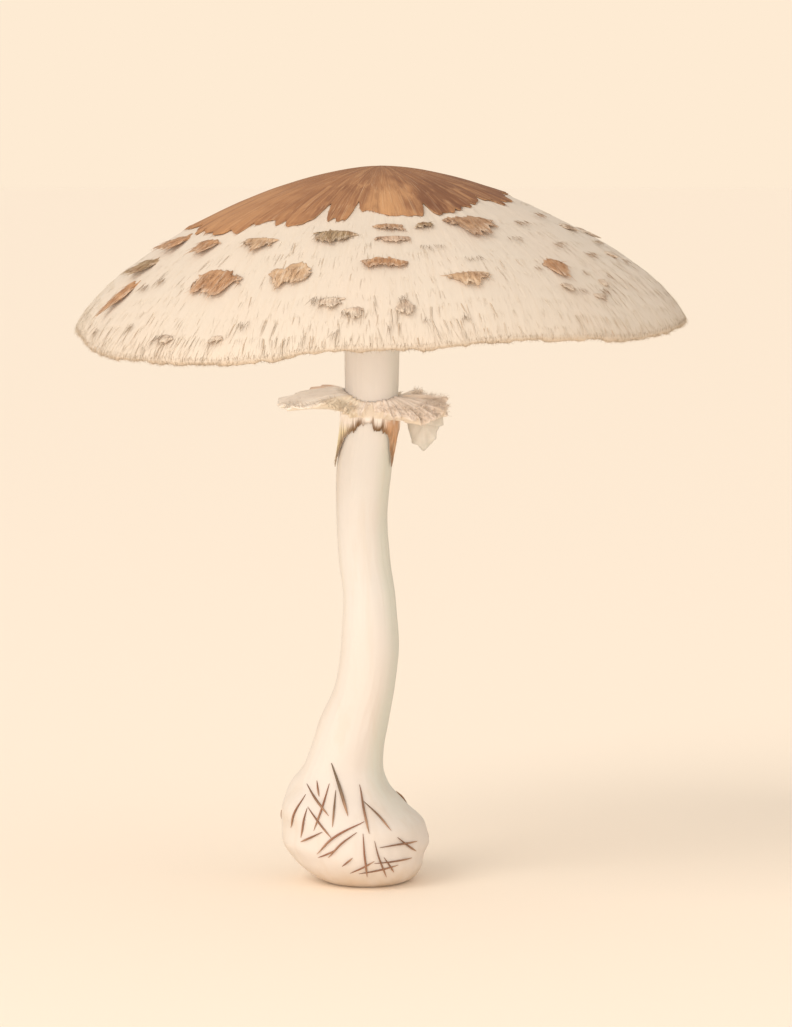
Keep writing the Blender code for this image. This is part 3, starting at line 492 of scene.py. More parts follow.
def crown_edge(angle):
    """Arc length of the crown's torn edge, with the solid's teeth."""
    rng = np.random.default_rng(CAP_SEED + 1)
    teeth = 1.7 * (tufts(rng, CAP_SECTORS, (2, 3, 3, 4)) - 0.55)
    return refined(DOME.arc(around(CROWN_EDGE, sectors(CAP_SECTORS))) + teeth, angle)


def torn_edge(angle):
    """The crown's edge with its fine jags and sharp notches, which the felt outside it follows."""
    edge = crown_edge(angle) + 0.5 * turning(91, angle, 130) + 0.35 * turning(92, angle, 300)
    for azimuth, depth, half in CROWN_NOTCHES:
        away = apart(angle, azimuth) / half
        notch = depth * np.clip(1 - away, 0, 1) ** 1.2
        edge = edge - notch + 0.35 * depth * np.exp(-((away - 1.7) ** 2) * 2.5)
    return edge


def stem_at(z):
    """Middle across, middle in depth and radius of the stem at a height."""
    heights, across, depth, radii = np.array(STEM).T
    return smooth(heights, across, z), smooth(heights, depth, z), smooth(heights, radii, z)


def stem_point(z, angle, out=0.0):
    """Points on the stem, or this far outside it."""
    across, depth, radius = stem_at(z)
    x = across + (radius + out) * np.cos(np.radians(angle))
    y = depth + (radius + out) * np.sin(np.radians(angle))
    return np.stack(np.broadcast_arrays(x, y, z), axis=-1)


def rounds(rows, loop=False):
    """Points and faces of rings joined in order, from pole to pole or in a closed loop."""
    rows = np.asarray(rows, float)
    rings, count = rows.shape[:2]
    here = np.arange(count)
    ahead = (here + 1) % count
    faces = []
    for k in range(rings if loop else rings - 1):
        a = k * count
        b = (k + 1) % rings * count
        faces += np.stack([a + here, b + here, b + ahead, a + ahead], axis=1).tolist()
    if loop:
        return rows.reshape(-1, 3), faces
    top = rings * count
    last = top - count
    faces += [(top, i, (i + 1) % count) for i in range(count)]
    faces += [(top + 1, last + (i + 1) % count, last + i) for i in range(count)]
    return poled(rows), faces


def poled(rows):
    """Values for each point of rings closed at both poles."""
    rows = np.asarray(rows, float)
    flat = rows.reshape(-1, *rows.shape[2:])
    return np.concatenate([flat, [rows[0].mean(axis=0)], [rows[-1].mean(axis=0)]])


def shell(top, low):
    """Points and faces of a thin closed plate between two grids of points."""
    down, across = top.shape[:2]
    index = np.arange(down * across).reshape(down, across)
    quads = np.stack([index[:-1, :-1], index[1:, :-1], index[1:, 1:], index[:-1, 1:]], axis=-1)
    quads = quads.reshape(-1, 4)
    rim = np.concatenate([index[0, :-1], index[:-1, -1], index[-1, :0:-1], index[:0:-1, 0]])
    after = np.roll(rim, -1)
    back = down * across
    faces = quads.tolist() + (quads[:, ::-1] + back).tolist()
    faces += np.stack([rim, after, after + back, rim + back], axis=1).tolist()
    return np.concatenate([top.reshape(-1, 3), low.reshape(-1, 3)]), faces


class Pile:
    """Several shells gathered in one mesh, with the same named values on each."""

    def __init__(self):
        self.points = []
        self.faces = []
        self.values = {}
        self.count = 0

    def add(self, points, faces, **values):
        self.points.append(points)
        self.faces += [[i + self.count for i in face] for face in faces]
        for label, amounts in values.items():
            self.values.setdefault(label, []).append(np.asarray(amounts, float))
        self.count += len(points)

    def build(self, name, finish=None):
        values = {label: np.concatenate(parts) for label, parts in self.values.items()}
        return mesh_object(name, np.concatenate(self.points), self.faces, finish, **values)


def linked(name, data, home=None):
    """A new object with this data, in a collection or else in the scene."""
    obj = bpy.data.objects.new(name, data)
    (home or bpy.context.scene.collection).objects.link(obj)
    return obj


def mesh_object(name, points, faces, finish=None, edges=(), home=None, **values):
    """An object from points in millimetres, with any named values for its points."""
    mesh = bpy.data.meshes.new(name)
    mesh.from_pydata(np.asarray(points) / 1000, edges, faces)
    for label, amounts in values.items():
        amounts = np.asarray(amounts, np.float32)
        if amounts.ndim == 1:
            kind, field = "FLOAT", "value"
        elif label == "paint":
            amounts = np.concatenate([amounts, np.ones((len(amounts), 1), np.float32)], axis=1)
            kind, field = "FLOAT_COLOR", "color"
        else:
            kind, field = "FLOAT_VECTOR", "vector"
        mesh.attributes.new(label, kind, "POINT").data.foreach_set(field, amounts.ravel())
    if finish:
        mesh.materials.append(finish)
    mesh.shade_smooth()
    return linked(name, mesh, home)


def put(obj, slot, *nodes):
    """Sets a finished piece on the part and hides the nodes that it stands for; its slot is not used."""
    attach(obj, "root")
    if nodes:
        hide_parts(*nodes)


def feed(tree, socket, value):
    """Gives a socket a value, or joins another node's output to it."""
    if isinstance(value, bpy.types.NodeSocket):
        tree.links.new(value, socket)
    else:
        socket.default_value = (*value, 1.0) if socket.type == "RGBA" else value


def add(tree, kind, sockets=None, **settings):
    """Adds a node. Its sockets take values, or outputs of other nodes."""
    node = tree.nodes.new(kind)
    for name, value in settings.items():
        setattr(node, name, value)
    for key, value in (sockets or {}).items():
        feed(tree, node.inputs[key], value)
    return node


def calc(tree, operation, *values):
    """One step of arithmetic."""
    return add(tree, "ShaderNodeMath", dict(enumerate(values)), operation=operation).outputs[0]


def vector(tree, operation, *values, output="Vector"):
    """One step of arithmetic on vectors."""
    return add(tree, "ShaderNodeVectorMath", dict(enumerate(values)), operation=operation).outputs[output]


def blend(tree, share, a, b):
    """A colour between a and b."""
    return add(tree, "ShaderNodeMix", {0: share, 6: a, 7: b}, data_type="RGBA").outputs[2]


def laid(tree, under, mask, share, colour):
    """A colour laid over another where a mask says, up to this share."""
    return blend(tree, calc(tree, "MULTIPLY", mask, share), under, colour)


def spread(tree, value, low, high):
    """A value eased from 0 at low to 1 at high."""
    sockets = {"Value": value, "From Min": low, "From Max": high}
    return add(tree, "ShaderNodeMapRange", sockets, interpolation_type="SMOOTHSTEP").outputs[0]


def noise(tree, vector, scale, detail=3.0, rough=0.55):
    """Smooth noise from 0 to 1."""
    sockets = {"Vector": vector, "Scale": scale, "Detail": detail, "Roughness": rough}
    return add(tree, "ShaderNodeTexNoise", sockets).outputs[0]


def place(tree):
    """Where a point lies on the object itself."""
    return add(tree, "ShaderNodeTexCoord").outputs["Object"]


def read(tree, label, output="Fac"):
    """A value that the mesh carries, for a material."""
    return add(tree, "ShaderNodeAttribute", attribute_name=label).outputs[output]


def new_tree(name, kind, inputs, outputs):
    """A node group with named inputs, each a kind of socket and a value, and named outputs."""
    tree = bpy.data.node_groups.new(name, kind)
    for label, (socket, value) in inputs.items():
        made = tree.interface.new_socket(label, in_out="INPUT", socket_type="NodeSocket" + socket)
        if value is not None:
            made.default_value = value
    for label, socket in outputs.items():
        tree.interface.new_socket(label, in_out="OUTPUT", socket_type="NodeSocket" + socket)
    return tree, tree.nodes.new("NodeGroupInput").outputs, tree.nodes.new("NodeGroupOutput").inputs


def use(tree, group, **values):
    """Places a shader node group, its inputs named with underscores for spaces."""
    sockets = {label.replace("_", " "): value for label, value in values.items()}
    return add(tree, "ShaderNodeGroup", sockets, node_tree=group).outputs


def radial_fibres():
    """Mask of fine fibres that run outward and down from the cap's apex."""
    tree, start, end = new_tree(
        "radial_fibres", "ShaderNodeTree",
        {"Fineness": ("Float", 60.0), "Run": ("Float", 0.008), "Wander": ("Float", 0.4)}, {"Mask": "Float"},
    )
    middle = (CAP_MIDDLE[0] / 1000, 0.0, 0.0)
    flat = vector(tree, "MULTIPLY", vector(tree, "SUBTRACT", place(tree), middle), (1.0, 1.0, 0.0))
    reach = vector(tree, "LENGTH", flat, output="Value")
    aim = vector(tree, "NORMALIZE", flat)
    bend = noise(tree, place(tree), 90.0, 2.0)
    bend = calc(tree, "MULTIPLY", calc(tree, "SUBTRACT", bend, 0.5), start["Wander"])
    sockets = {"Vector": aim, "Scale": start["Fineness"]}
    wide = add(tree, "ShaderNodeVectorMath", sockets, operation="SCALE").outputs[0]
    along = calc(tree, "ADD", calc(tree, "DIVIDE", reach, start["Run"]), bend)
    lift = add(tree, "ShaderNodeCombineXYZ", {"Z": along}).outputs[0]
    tree.links.new(noise(tree, vector(tree, "ADD", wide, lift), 1.0, 3.0, 0.6), end["Mask"])
    return tree


def mottling():
    """Mask of soft blotches."""
    tree, start, end = new_tree(
        "mottling", "ShaderNodeTree",
        {"Scale": ("Float", 60.0), "Low": ("Float", 0.4), "High": ("Float", 0.65)}, {"Mask": "Float"},
    )
    blotches = noise(tree, place(tree), start["Scale"], 4.0, 0.6)
    tree.links.new(spread(tree, blotches, start["Low"], start["High"]), end["Mask"])
    return tree


def hair_colour():
    """Colour of a hair or lock, from its root, darker as painted shade, to its tip, and from one to the next.
    """
    tree, start, end = new_tree(
        "hair_colour", "ShaderNodeTree",
        {
            "Root": ("Color", (0.5, 0.4, 0.3, 1)), "Tip": ("Color", (0.8, 0.7, 0.6, 1)),
            "Odd": ("Color", (0.4, 0.3, 0.2, 1)), "Odd Share": ("Float", 0.2),
        },
        {"Colour": "Color"},
    )
    along = spread(tree, read(tree, "along"), 0.0, 0.75)
    plain = blend(tree, along, start["Root"], start["Tip"])
    tint = read(tree, "tint")
    edge = calc(tree, "SUBTRACT", 1.0, start["Odd Share"])
    odd = calc(tree, "MULTIPLY", spread(tree, tint, edge, calc(tree, "ADD", edge, 0.12)), 0.75)
    shade = add(tree, "ShaderNodeHueSaturation", {
        "Value": add(tree, "ShaderNodeMapRange", {"Value": tint, "To Min": 0.93, "To Max": 1.05}).outputs[0],
        "Color": blend(tree, odd, plain, start["Odd"]),
    })
    tree.links.new(shade.outputs[0], end["Colour"])
    return tree


def fine_grain():
    """Height of a fine matte grain, for bumps."""
    tree, start, end = new_tree(
        "fine_grain", "ShaderNodeTree",
        {"Scale": ("Float", 900.0), "Stretch": ("Vector", (1.0, 1.0, 1.0))}, {"Height": "Float"},
    )
    at = vector(tree, "MULTIPLY", place(tree), start["Stretch"])
    tree.links.new(noise(tree, at, start["Scale"], 4.0, 0.6), end["Height"])
    return tree


RADIAL_FIBRES = radial_fibres()
MOTTLING = mottling()
HAIR_COLOUR = hair_colour()
FINE_GRAIN = fine_grain()


def new_finish(name, roughness=0.85, sheen=0.0):
    """An empty matte material: its tree and its surface."""
    finish = bpy.data.materials.new(name)
    finish.use_nodes = True
    surface = finish.node_tree.nodes["Principled BSDF"]
    surface.inputs["Roughness"].default_value = roughness
    surface.inputs["Specular IOR Level"].default_value = 0.3
    surface.inputs["Sheen Weight"].default_value = sheen
    return finish, finish.node_tree, surface


def coat(tree, surface, colour, height=None, strength=1.0, depth=0.0):
    """Gives a surface its colour, and lets a height raise it by this depth in metres."""
    feed(tree, surface.inputs["Base Color"], colour)
    if height is not None:
        sockets = {"Height": height, "Strength": strength, "Distance": depth}
        feed(tree, surface.inputs["Normal"], add(tree, "ShaderNodeBump", sockets).outputs[0])


def felt_finish():
    """Pale felt with faint fibres, with painted shade, a little browner, in its furrows, near the margin and
    on its lip.
    """
    finish, tree, surface = new_finish("pale_felt", sheen=0.1)
    fibres = use(tree, RADIAL_FIBRES, Fineness=75.0, Run=0.006, Wander=1.2)["Mask"]
    broad = use(tree, MOTTLING, Scale=55.0, Low=0.42, High=0.7)["Mask"]
    colour = laid(tree, CREAM, broad, 0.35, WARM_CREAM)
    colour = laid(tree, colour, spread(tree, fibres, 0.5, 0.72), 0.35, BUFF)
    # Painted shade: browner in the furrows, near the margin, on the lip, and a little under the crown and
    # underneath
    low = calc(tree, "SUBTRACT", 1.0, read(tree, "relief"))
    coat(tree, surface, laid(tree, colour, low, 0.15, BUFF), fibres, 0.5, 0.0003)
    return finish


def hair_finish(name):
    """Pale hair in its own colours."""
    finish, tree, surface = new_finish(name, sheen=0.1)
    root, tip, odd, odd_share = HAIR_TONES[name]
    inputs = dict(Root=tone(*root), Tip=tone(*tip), Odd=tone(*odd), Odd_Share=odd_share)
    coat(tree, surface, use(tree, HAIR_COLOUR, **inputs)["Colour"])
    return finish


def toned_hair_finish(name, shade, pale_share=0.3):
    """Hair whose colour is the tone of what it grows from, darkened at the root as painted shade."""
    finish, tree, surface = new_finish(name, sheen=0.05)
    own = read(tree, "paint", "Color")
    dark = blend(tree, shade, own, HAIR_ROOT_SHADE)
    pale = blend(tree, pale_share, own, PALE_HAIR_TIP)
    coat(tree, surface, use(tree, HAIR_COLOUR, Root=dark, Tip=own, Odd=pale, Odd_Share=pale_share)["Colour"])
    return finish


def crown_finish():
    """Smooth brown skin with lighter and darker streaks that run out from the apex."""
    finish, tree, surface = new_finish("brown_crown", roughness=0.75)
    broad = use(tree, RADIAL_FIBRES, Fineness=9.0, Run=0.02, Wander=2.0)["Mask"]
    fibres = use(tree, RADIAL_FIBRES, Fineness=26.0, Run=0.012, Wander=1.6)["Mask"]
    fine = use(tree, RADIAL_FIBRES, Fineness=100.0, Run=0.010, Wander=1.2)["Mask"]
    colour = read(tree, "paint", "Color")
    for mask, low, high, share, other in (
        (broad, 0.52, 0.68, 0.5, CROWN_LIGHT), (broad, 0.46, 0.32, 0.4, CROWN_DARK),
        (fibres, 0.52, 0.7, 0.45, CROWN_LIGHT), (fibres, 0.47, 0.3, 0.35, CROWN_DARK),
        (fine, 0.56, 0.72, 0.4, TONES["tan"]), (fine, 0.46, 0.3, 0.3, CROWN_DARK),
    ):
        colour = laid(tree, colour, spread(tree, mask, low, high), share, other)
    height = calc(tree, "ADD", fibres, calc(tree, "MULTIPLY", fine, 0.6))
    coat(tree, surface, colour, height, 0.6, 0.0004)
    return finish


def scale_finish():
    """Torn brown felt with pale fibres and dark furrows."""
    finish, tree, surface = new_finish("torn_scale")
    fibres = use(tree, RADIAL_FIBRES, Fineness=85.0, Run=0.004, Wander=2.0)["Mask"]
    blotch = use(tree, MOTTLING, Scale=230.0, Low=0.38, High=0.66)["Mask"]
    own = read(tree, "paint", "Color")
    colour = laid(tree, own, spread(tree, fibres, 0.5, 0.7), 0.55, TONES["felt"])
    colour = laid(tree, colour, spread(tree, fibres, 0.46, 0.3), 0.45, CROWN_DARK)
    coat(tree, surface, laid(tree, colour, blotch, 0.25, CROWN_MID), fibres, 0.7, 0.0004)
    return finish


def gill_finish():
    """Pale gills, each a little different."""
    finish, tree, surface = new_finish("gill_flesh", roughness=0.75)
    blotch = use(tree, MOTTLING, Scale=70.0, Low=0.4, High=0.7)["Mask"]
    colour = laid(tree, GILL_TONES["pale"], blotch, 0.5, GILL_TONES["warm"])
    colour = laid(tree, colour, read(tree, "tint"), 0.3, GILL_TONES["deep"])
    grain = use(tree, FINE_GRAIN, Scale=700.0)["Height"]
    coat(tree, surface, colour, grain, 0.3, 0.0001)
    return finish


def stem_finish():
    """Silky pale flesh, faintly streaked along the stem."""
    finish, tree, surface = new_finish("stem_flesh", roughness=0.75)
    soft = use(tree, MOTTLING, Scale=38.0, Low=0.4, High=0.7)["Mask"]
    stretched = use(tree, FINE_GRAIN, Scale=240.0, Stretch=(1.0, 1.0, 0.09))["Height"]
    colour = laid(tree, read(tree, "paint", "Color"), soft, 0.3, STEM_TONES["blotch"])
    colour = laid(tree, colour, spread(tree, stretched, 0.5, 0.7), 0.2, BUFF)
    coat(tree, surface, colour, stretched, 0.35, 0.00025)
    return finish


def ring_finish():
    """Woolly pale felt in the ring's own colours."""
    finish, tree, surface = new_finish("ring_felt", sheen=0.1)
    grain = use(tree, FINE_GRAIN, Scale=420.0, Stretch=(1.0, 1.0, 0.6))["Height"]
    blotch = use(tree, MOTTLING, Scale=260.0, Low=0.4, High=0.68)["Mask"]
    colour = laid(tree, read(tree, "paint", "Color"), blotch, 0.25, CREAM)
    colour = laid(tree, colour, spread(tree, grain, 0.46, 0.3), 0.2, BUFF)
    coat(tree, surface, colour, grain, 0.6, 0.0003)
    return finish


def needle_finish():
    """Dry ribbed needles, from brown to grey, paler at their ends."""
    finish, tree, surface = new_finish("dry_needle", roughness=0.7)
    ribs = use(tree, FINE_GRAIN, Scale=700.0, Stretch=(1.0, 1.0, 0.15))["Height"]
    own = blend(tree, read(tree, "tint"), NEEDLE_TONES["brown"], NEEDLE_TONES["grey"])
    ends = blend(tree, spread(tree, read(tree, "along"), 0.4, 1.0), own, NEEDLE_TONES["tip"])
    colour = laid(tree, ends, spread(tree, ribs, 0.5, 0.7), 0.35, NEEDLE_TONES["rib"])
    coat(tree, surface, colour, ribs, 0.4, 0.0002)
    return finish


def strand(rng, rows, sides, width, flat, curl, sway, wiggle=0.0):
    """One hair or lock, from the origin to its tip 1 mm along +X: points, faces, share of its length."""
    at = np.linspace(0, 1, rows)
    bulge = (0.75 + 0.25 * np.sin(np.clip(at * 2.5, 0, 1) * math.pi / 2)) * (1 - at**1.6)
    middle_y = sway * at**2 + wiggle * np.sin(at * rng.uniform(5, 8) + rng.uniform(0, 6)) * at
    middle_z = curl * at**2.2 + wiggle * np.cos(at * rng.uniform(5, 8) + rng.uniform(0, 6)) * at * 0.6
    turn = np.arange(sides) * 2 * math.pi / sides + math.pi / 2
    points = []
    for i in range(rows - 1):
        half = width / 2 * bulge[i]
        for angle in turn:
            y = middle_y[i] + half * math.cos(angle)
            points.append((at[i], y, middle_z[i] + half * flat * math.sin(angle)))
    points.append((1.0, middle_y[-1], middle_z[-1]))
    faces = []
    for i in range(rows - 2):
        for k in range(sides):
            a, b = i * sides + k, i * sides + (k + 1) % sides
            faces.append((a, b, b + sides, a + sides))
    last = (rows - 2) * sides
    for k in range(sides):
        faces.append((last + k, last + (k + 1) % sides, len(points) - 1))
    faces.append(tuple(range(sides - 1, -1, -1)))
    along = np.repeat(at[:-1], sides).tolist() + [1.0]
    return np.array(points), faces, along


def kit(name, seed, count, **shape):
    """A collection of loose strands to be set out by the trees below."""
    rng = np.random.default_rng(seed)
    made = bpy.data.collections.new(name)
    for i in range(count):
        own = dict(shape)
        own["curl"] = shape["curl"] * rng.uniform(0.2, 1.8)
        own["sway"] = shape["sway"] * rng.uniform(-1, 1)
        points, faces, along = strand(rng, **own)
        mesh_object(f"{name}_{i}", points, faces, home=made, along=along)
    return made


def chance(tree, low, high, seed, whole=False):
    """A random value for each point, whole or not. Each use has its own seed."""
    first, output, kind = (4, 2, "INT") if whole else (2, 1, "FLOAT")
    sockets = {first: low, first + 1: high, "Seed": seed}
    return add(tree, "FunctionNodeRandomValue", sockets, data_type=kind).outputs[output]


def named(tree, label, kind="FLOAT"):
    """A value that the skin carries, for a tree."""
    return add(tree, "GeometryNodeInputNamedAttribute", {"Name": label}, data_type=kind).outputs[0]


def rotation(tree, **turns):
    """A rotation from turns in radians about X, Y and Z."""
    euler = add(tree, "ShaderNodeCombineXYZ", turns).outputs[0]
    return add(tree, "FunctionNodeEulerToRotation", {"Euler": euler}).outputs[0]


def finish_tree(tree, geometry, start, end):
    """Makes all of the geometry real and sets its material."""
    real = add(tree, "GeometryNodeRealizeInstances", {"Geometry": geometry}).outputs[0]
    done = add(tree, "GeometryNodeSetMaterial", {"Geometry": real, "Material": start["Finish"]}).outputs[0]
    tree.links.new(done, end[0])


def store(tree, geometry, label, value, domain):
    """Writes a named value on the geometry."""
    sockets = {"Geometry": geometry, "Name": label, "Value": value}
    return add(tree, "GeometryNodeStoreNamedAttribute", sockets, data_type="FLOAT", domain=domain).outputs[0]


def set_out(tree, start, end, points, which, seed, **placing):
    sockets = {"Collection": start["Kit"], "Separate Children": True, "Reset Children": True}
    pieces = add(tree, "GeometryNodeCollectionInfo", sockets).outputs[0]
    sockets = {"Points": points, "Instance": pieces, "Pick Instance": True, "Instance Index": which}
    instances = add(tree, "GeometryNodeInstanceOnPoints", {**sockets, **placing}).outputs[0]
    finish_tree(tree, store(tree, instances, "tint", chance(tree, 0.0, 1.0, seed), "INSTANCE"), start, end)


def strands_on_skin():
    """Tree that roots strands on a skin and combs them along the skin's own 'comb' direction."""
    tree, start, end = new_tree(
        "strands_on_skin", "GeometryNodeTree",
        {
            "Skin": ("Geometry", None), "Kit": ("Collection", None), "Kinds": ("Int", 6),
            "Finish": ("Material", None), "Per Square Metre": ("Float", 1e5), "Seed": ("Int", 1),
            "Shortest": ("Float", 2.0), "Longest": ("Float", 5.0), "Width": ("Float", 2.0),
            "Sway": ("Float", 15.0), "Lift": ("Float", 6.0), "Streams": ("Float", 120.0),
        },
        {"Strands": "Geometry"},
    )
    thick = calc(tree, "MULTIPLY", start["Per Square Metre"], named(tree, "cover"))
    sockets = {"Mesh": start["Skin"], "Density": thick, "Seed": start["Seed"]}
    roots = add(tree, "GeometryNodeDistributePointsOnFaces", sockets, distribute_method="RANDOM")
    aim = add(
        tree, "FunctionNodeAxesToRotation",
        {"Primary Axis": roots.outputs["Normal"], "Secondary Axis": named(tree, "comb", "FLOAT_VECTOR")},
        primary_axis="Z", secondary_axis="X",
    ).outputs[0]
    at = add(tree, "GeometryNodeInputPosition").outputs[0]
    stream = calc(tree, "MULTIPLY", calc(tree, "SUBTRACT", noise(tree, at, start["Streams"], 2.0), 0.5), 4.0)
    loose = chance(tree, -0.6, 0.6, 11)
    sway = calc(tree, "MULTIPLY", calc(tree, "ADD", stream, loose), calc(tree, "RADIANS", start["Sway"]))
    rise = calc(tree, "MULTIPLY", calc(tree, "RADIANS", start["Lift"]), chance(tree, 0.2, 1.8, 12))
    rise = calc(tree, "MULTIPLY", rise, named(tree, "shag"))
    sockets = {"Rotation": aim, "Rotate By": rotation(tree, Y=calc(tree, "MULTIPLY", rise, -1.0), Z=sway)}
    aim = add(tree, "FunctionNodeRotateRotation", sockets, rotation_space="LOCAL").outputs[0]
    long = chance(tree, start["Shortest"], start["Longest"], 13)
    long = calc(tree, "MULTIPLY", long, named(tree, "reach"))
    wide = calc(tree, "MULTIPLY", start["Width"], chance(tree, 0.6, 1.4, 14))
    size = add(tree, "ShaderNodeCombineXYZ", {"X": long, "Y": wide, "Z": wide}).outputs[0]
    which = chance(tree, 0, calc(tree, "SUBTRACT", start["Kinds"], 1), 15, whole=True)
    set_out(tree, start, end, roots.outputs["Points"], which, 16, Rotation=aim, Scale=size)
    return tree


def blades_round_axis():
    """Tree that sets long and short gills by turns round the cap's axis."""
    tree, start, end = new_tree(
        "blades_round_axis", "GeometryNodeTree",
        {
            "Skin": ("Geometry", None), "Kit": ("Collection", None), "Kinds": ("Int", 4),
            "Finish": ("Material", None), "Pairs": ("Int", 100), "Unevenness": ("Float", 0.3),
            "Seed": ("Int", 3),
        },
        {"Gills": "Geometry"},
    )
    count = calc(tree, "MULTIPLY", start["Pairs"], 2)
    points = add(tree, "GeometryNodePoints", {"Count": count}).outputs[0]
    order = add(tree, "GeometryNodeInputIndex").outputs[0]
    step = calc(tree, "DIVIDE", 360.0, count)
    uneven = calc(tree, "MULTIPLY", chance(tree, -0.5, 0.5, start["Seed"]), start["Unevenness"])
    turn = calc(tree, "RADIANS", calc(tree, "MULTIPLY", calc(tree, "ADD", order, uneven), step))
    short = calc(tree, "MULTIPLY", calc(tree, "MODULO", order, 2), start["Kinds"])
    which = chance(tree, 0, calc(tree, "SUBTRACT", start["Kinds"], 1), 21, whole=True)
    set_out(tree, start, end, points, calc(tree, "ADD", which, short), 22, Rotation=rotation(tree, Z=turn))
    return tree


def rods_on_paths():
    """Tree that makes a tapered rod along each path, as thick as the path's own 'thick'."""
    tree, start, end = new_tree(
        "rods_on_paths", "GeometryNodeTree",
        {
            "Paths": ("Geometry", None), "Finish": ("Material", None), "Sides": ("Int", 7),
            "Point Share": ("Float", 0.5), "Blunt Share": ("Float", 0.25),
        },
        {"Rods": "Geometry"},
    )
    curve = add(tree, "GeometryNodeMeshToCurve", {"Mesh": start["Paths"]}).outputs[0]
    share = add(tree, "GeometryNodeSplineParameter").outputs["Factor"]
    blunt = calc(tree, "DIVIDE", calc(tree, "SUBTRACT", 1.0, share), start["Blunt Share"])
    point = calc(tree, "DIVIDE", calc(tree, "ADD", share, 0.04), start["Point Share"])
    taper = calc(tree, "POWER", calc(tree, "MINIMUM", calc(tree, "MINIMUM", blunt, point), 1.0), 0.6)
    radius = calc(tree, "MAXIMUM", calc(tree, "MULTIPLY", taper, named(tree, "thick")), 5e-5)
    curve = store(tree, curve, "along", share, "POINT")
    sockets = {"Resolution": start["Sides"], "Radius": 1.0}
    profile = add(tree, "GeometryNodeCurvePrimitiveCircle", sockets).outputs[0]
    sockets = {"Curve": curve, "Profile Curve": profile, "Scale": radius, "Fill Caps": True}
    rods = add(tree, "GeometryNodeCurveToMesh", sockets).outputs[0]
    finish_tree(tree, add(tree, "GeometryNodeSetShadeSmooth", {"Geometry": rods}).outputs[0], start, end)
    return tree


STRANDS_ON_SKIN = strands_on_skin()
BLADES_ROUND_AXIS = blades_round_axis()
RODS_ON_PATHS = rods_on_paths()
KEPT_VALUES = ("along", "tint", "paint")


def grown(name, tree, base, **inputs):
    """Runs a tree on a base object, and returns the result as a plain mesh object in place of the base."""
    modifier = base.modifiers.new(tree.name, "NODES")
    modifier.node_group = tree
    for item in tree.interface.items_tree:
        label = item.name.replace(" ", "_")
        if item.in_out == "INPUT" and label in inputs:
            modifier[item.identifier] = inputs[label]
    graph = bpy.context.evaluated_depsgraph_get()
    done = base.evaluated_get(graph)
    mesh = bpy.data.meshes.new_from_object(done, preserve_all_data_layers=True, depsgraph=graph)
    base.modifiers.remove(modifier)
    bpy.data.objects.remove(base)
    mesh.name = name
    for label in [a.name for a in mesh.attributes if a.domain == "POINT" and a.name != "position"]:
        if label not in KEPT_VALUES:
            mesh.attributes.remove(mesh.attributes[label])
    return linked(name, mesh)


def growth(name):
    """The inputs that say how a kind of hair grows."""
    return dict(zip(GROWTH_INPUTS, GROWTH[name]))


def grow(name, slot, skin, strands, finish):
    """Grows a kind of hair on a skin, and sets it on the part."""
    put(grown(name, STRANDS_ON_SKIN, skin, Kit=strands, Finish=finish, **growth(name)), slot)


def carrier(points, comb, cover, reach=1.0, shag=1.0, paint=None):
    """A skin for strands from a grid of points that closes round its second axis."""
    size = points.shape[:2]
    index = np.arange(size[0] * size[1]).reshape(size)
    ahead = np.roll(index, -1, axis=1)
    quads = np.stack([index[:-1], index[1:], ahead[1:], ahead[:-1]], axis=-1).reshape(-1, 4)
    values = {}
    for label, amounts in (("cover", cover), ("reach", reach), ("shag", shag)):
        values[label] = np.broadcast_to(amounts, size).ravel()
    for label, amounts in (("comb", comb), ("paint", paint)):
        if amounts is not None:
            values[label] = np.broadcast_to(amounts, (*size, 3)).reshape(-1, 3)
    return mesh_object("carrier", points.reshape(-1, 3), quads.tolist(), **values)


def patches(spots):
    """A skin of small loose patches: each has four corners, a comb direction, a colour and a reach."""
    pile = Pile()
    whole = np.ones(4)
    for corners, comb, paint, reach in spots:
        values = dict(comb=np.tile(comb, (4, 1)), paint=np.tile(paint, (4, 1)))
        pile.add(np.asarray(corners), [(0, 1, 2, 3)], cover=whole, reach=reach * whole, shag=whole, **values)
    return pile.build("carrier")


def down_the_cap(s, angle):
    """Unit directions that run outward and down over the cap."""
    step = on_dome(s + 0.4, angle, 0.0) - on_dome(s - 0.4, angle, 0.0)
    return step / np.linalg.norm(step, axis=-1, keepdims=True)


def felt_height(s, angle, edge):
    """Height of the pale felt off the dome in rows of overlapping locks, and how raised each point is, for
    painted shade.
    """
    row = (s + 2.4 * turning(31, angle, 40, s / 9)) / LOCK_ROW
    rank = np.floor(row)
    down = row - rank
    column = angle / 360 * LOCKS_ROUND + 0.5 * np.mod(rank, 2) + 0.7 * turning(32, angle, 60, s / 12)
    cell = np.floor(column)
    across = 2 * (column - cell) - 1
    high = 0.5 + 0.5 * cloud(33, rank * 7.31 + np.mod(cell, LOCKS_ROUND) * 3.17)
    lock = down**1.4 * np.sqrt(np.clip(1 - across**2, 0, 1)) * np.clip((1 - down) / 0.14, 0, 1) * high
    furrow = turning(34, angle, 560, s / 6)
    swell = turning(35, angle, 16, s / 16)
    fade = ease(s, edge - 1.2, edge + 0.3)
    height = -0.45 + 0.12 * lock + 0.08 * furrow + 0.2 * swell + 0.3 * np.exp(-np.maximum(s - edge, 0) / 1.5)
    # How raised each point is: low in the furrows and near the margin, where the finish paints shade
    rim = ease(s, DOME.length - 4.5, DOME.length - 0.5)
    raised = np.clip(0.45 + 0.7 * lock + 0.3 * furrow, 0, 1) * (1 - 0.8 * rim)
    return FLESH_UNDER_CROWN * (1 - fade) + height * fade, raised


def lip_reach(angle):
    """How far the ragged lip stands out past the dome's edge."""
    return 0.4 + np.clip(0.5 + 0.5 * turning(41, angle, 190) + 0.3 * turning(42, angle, 420), 0, 1)


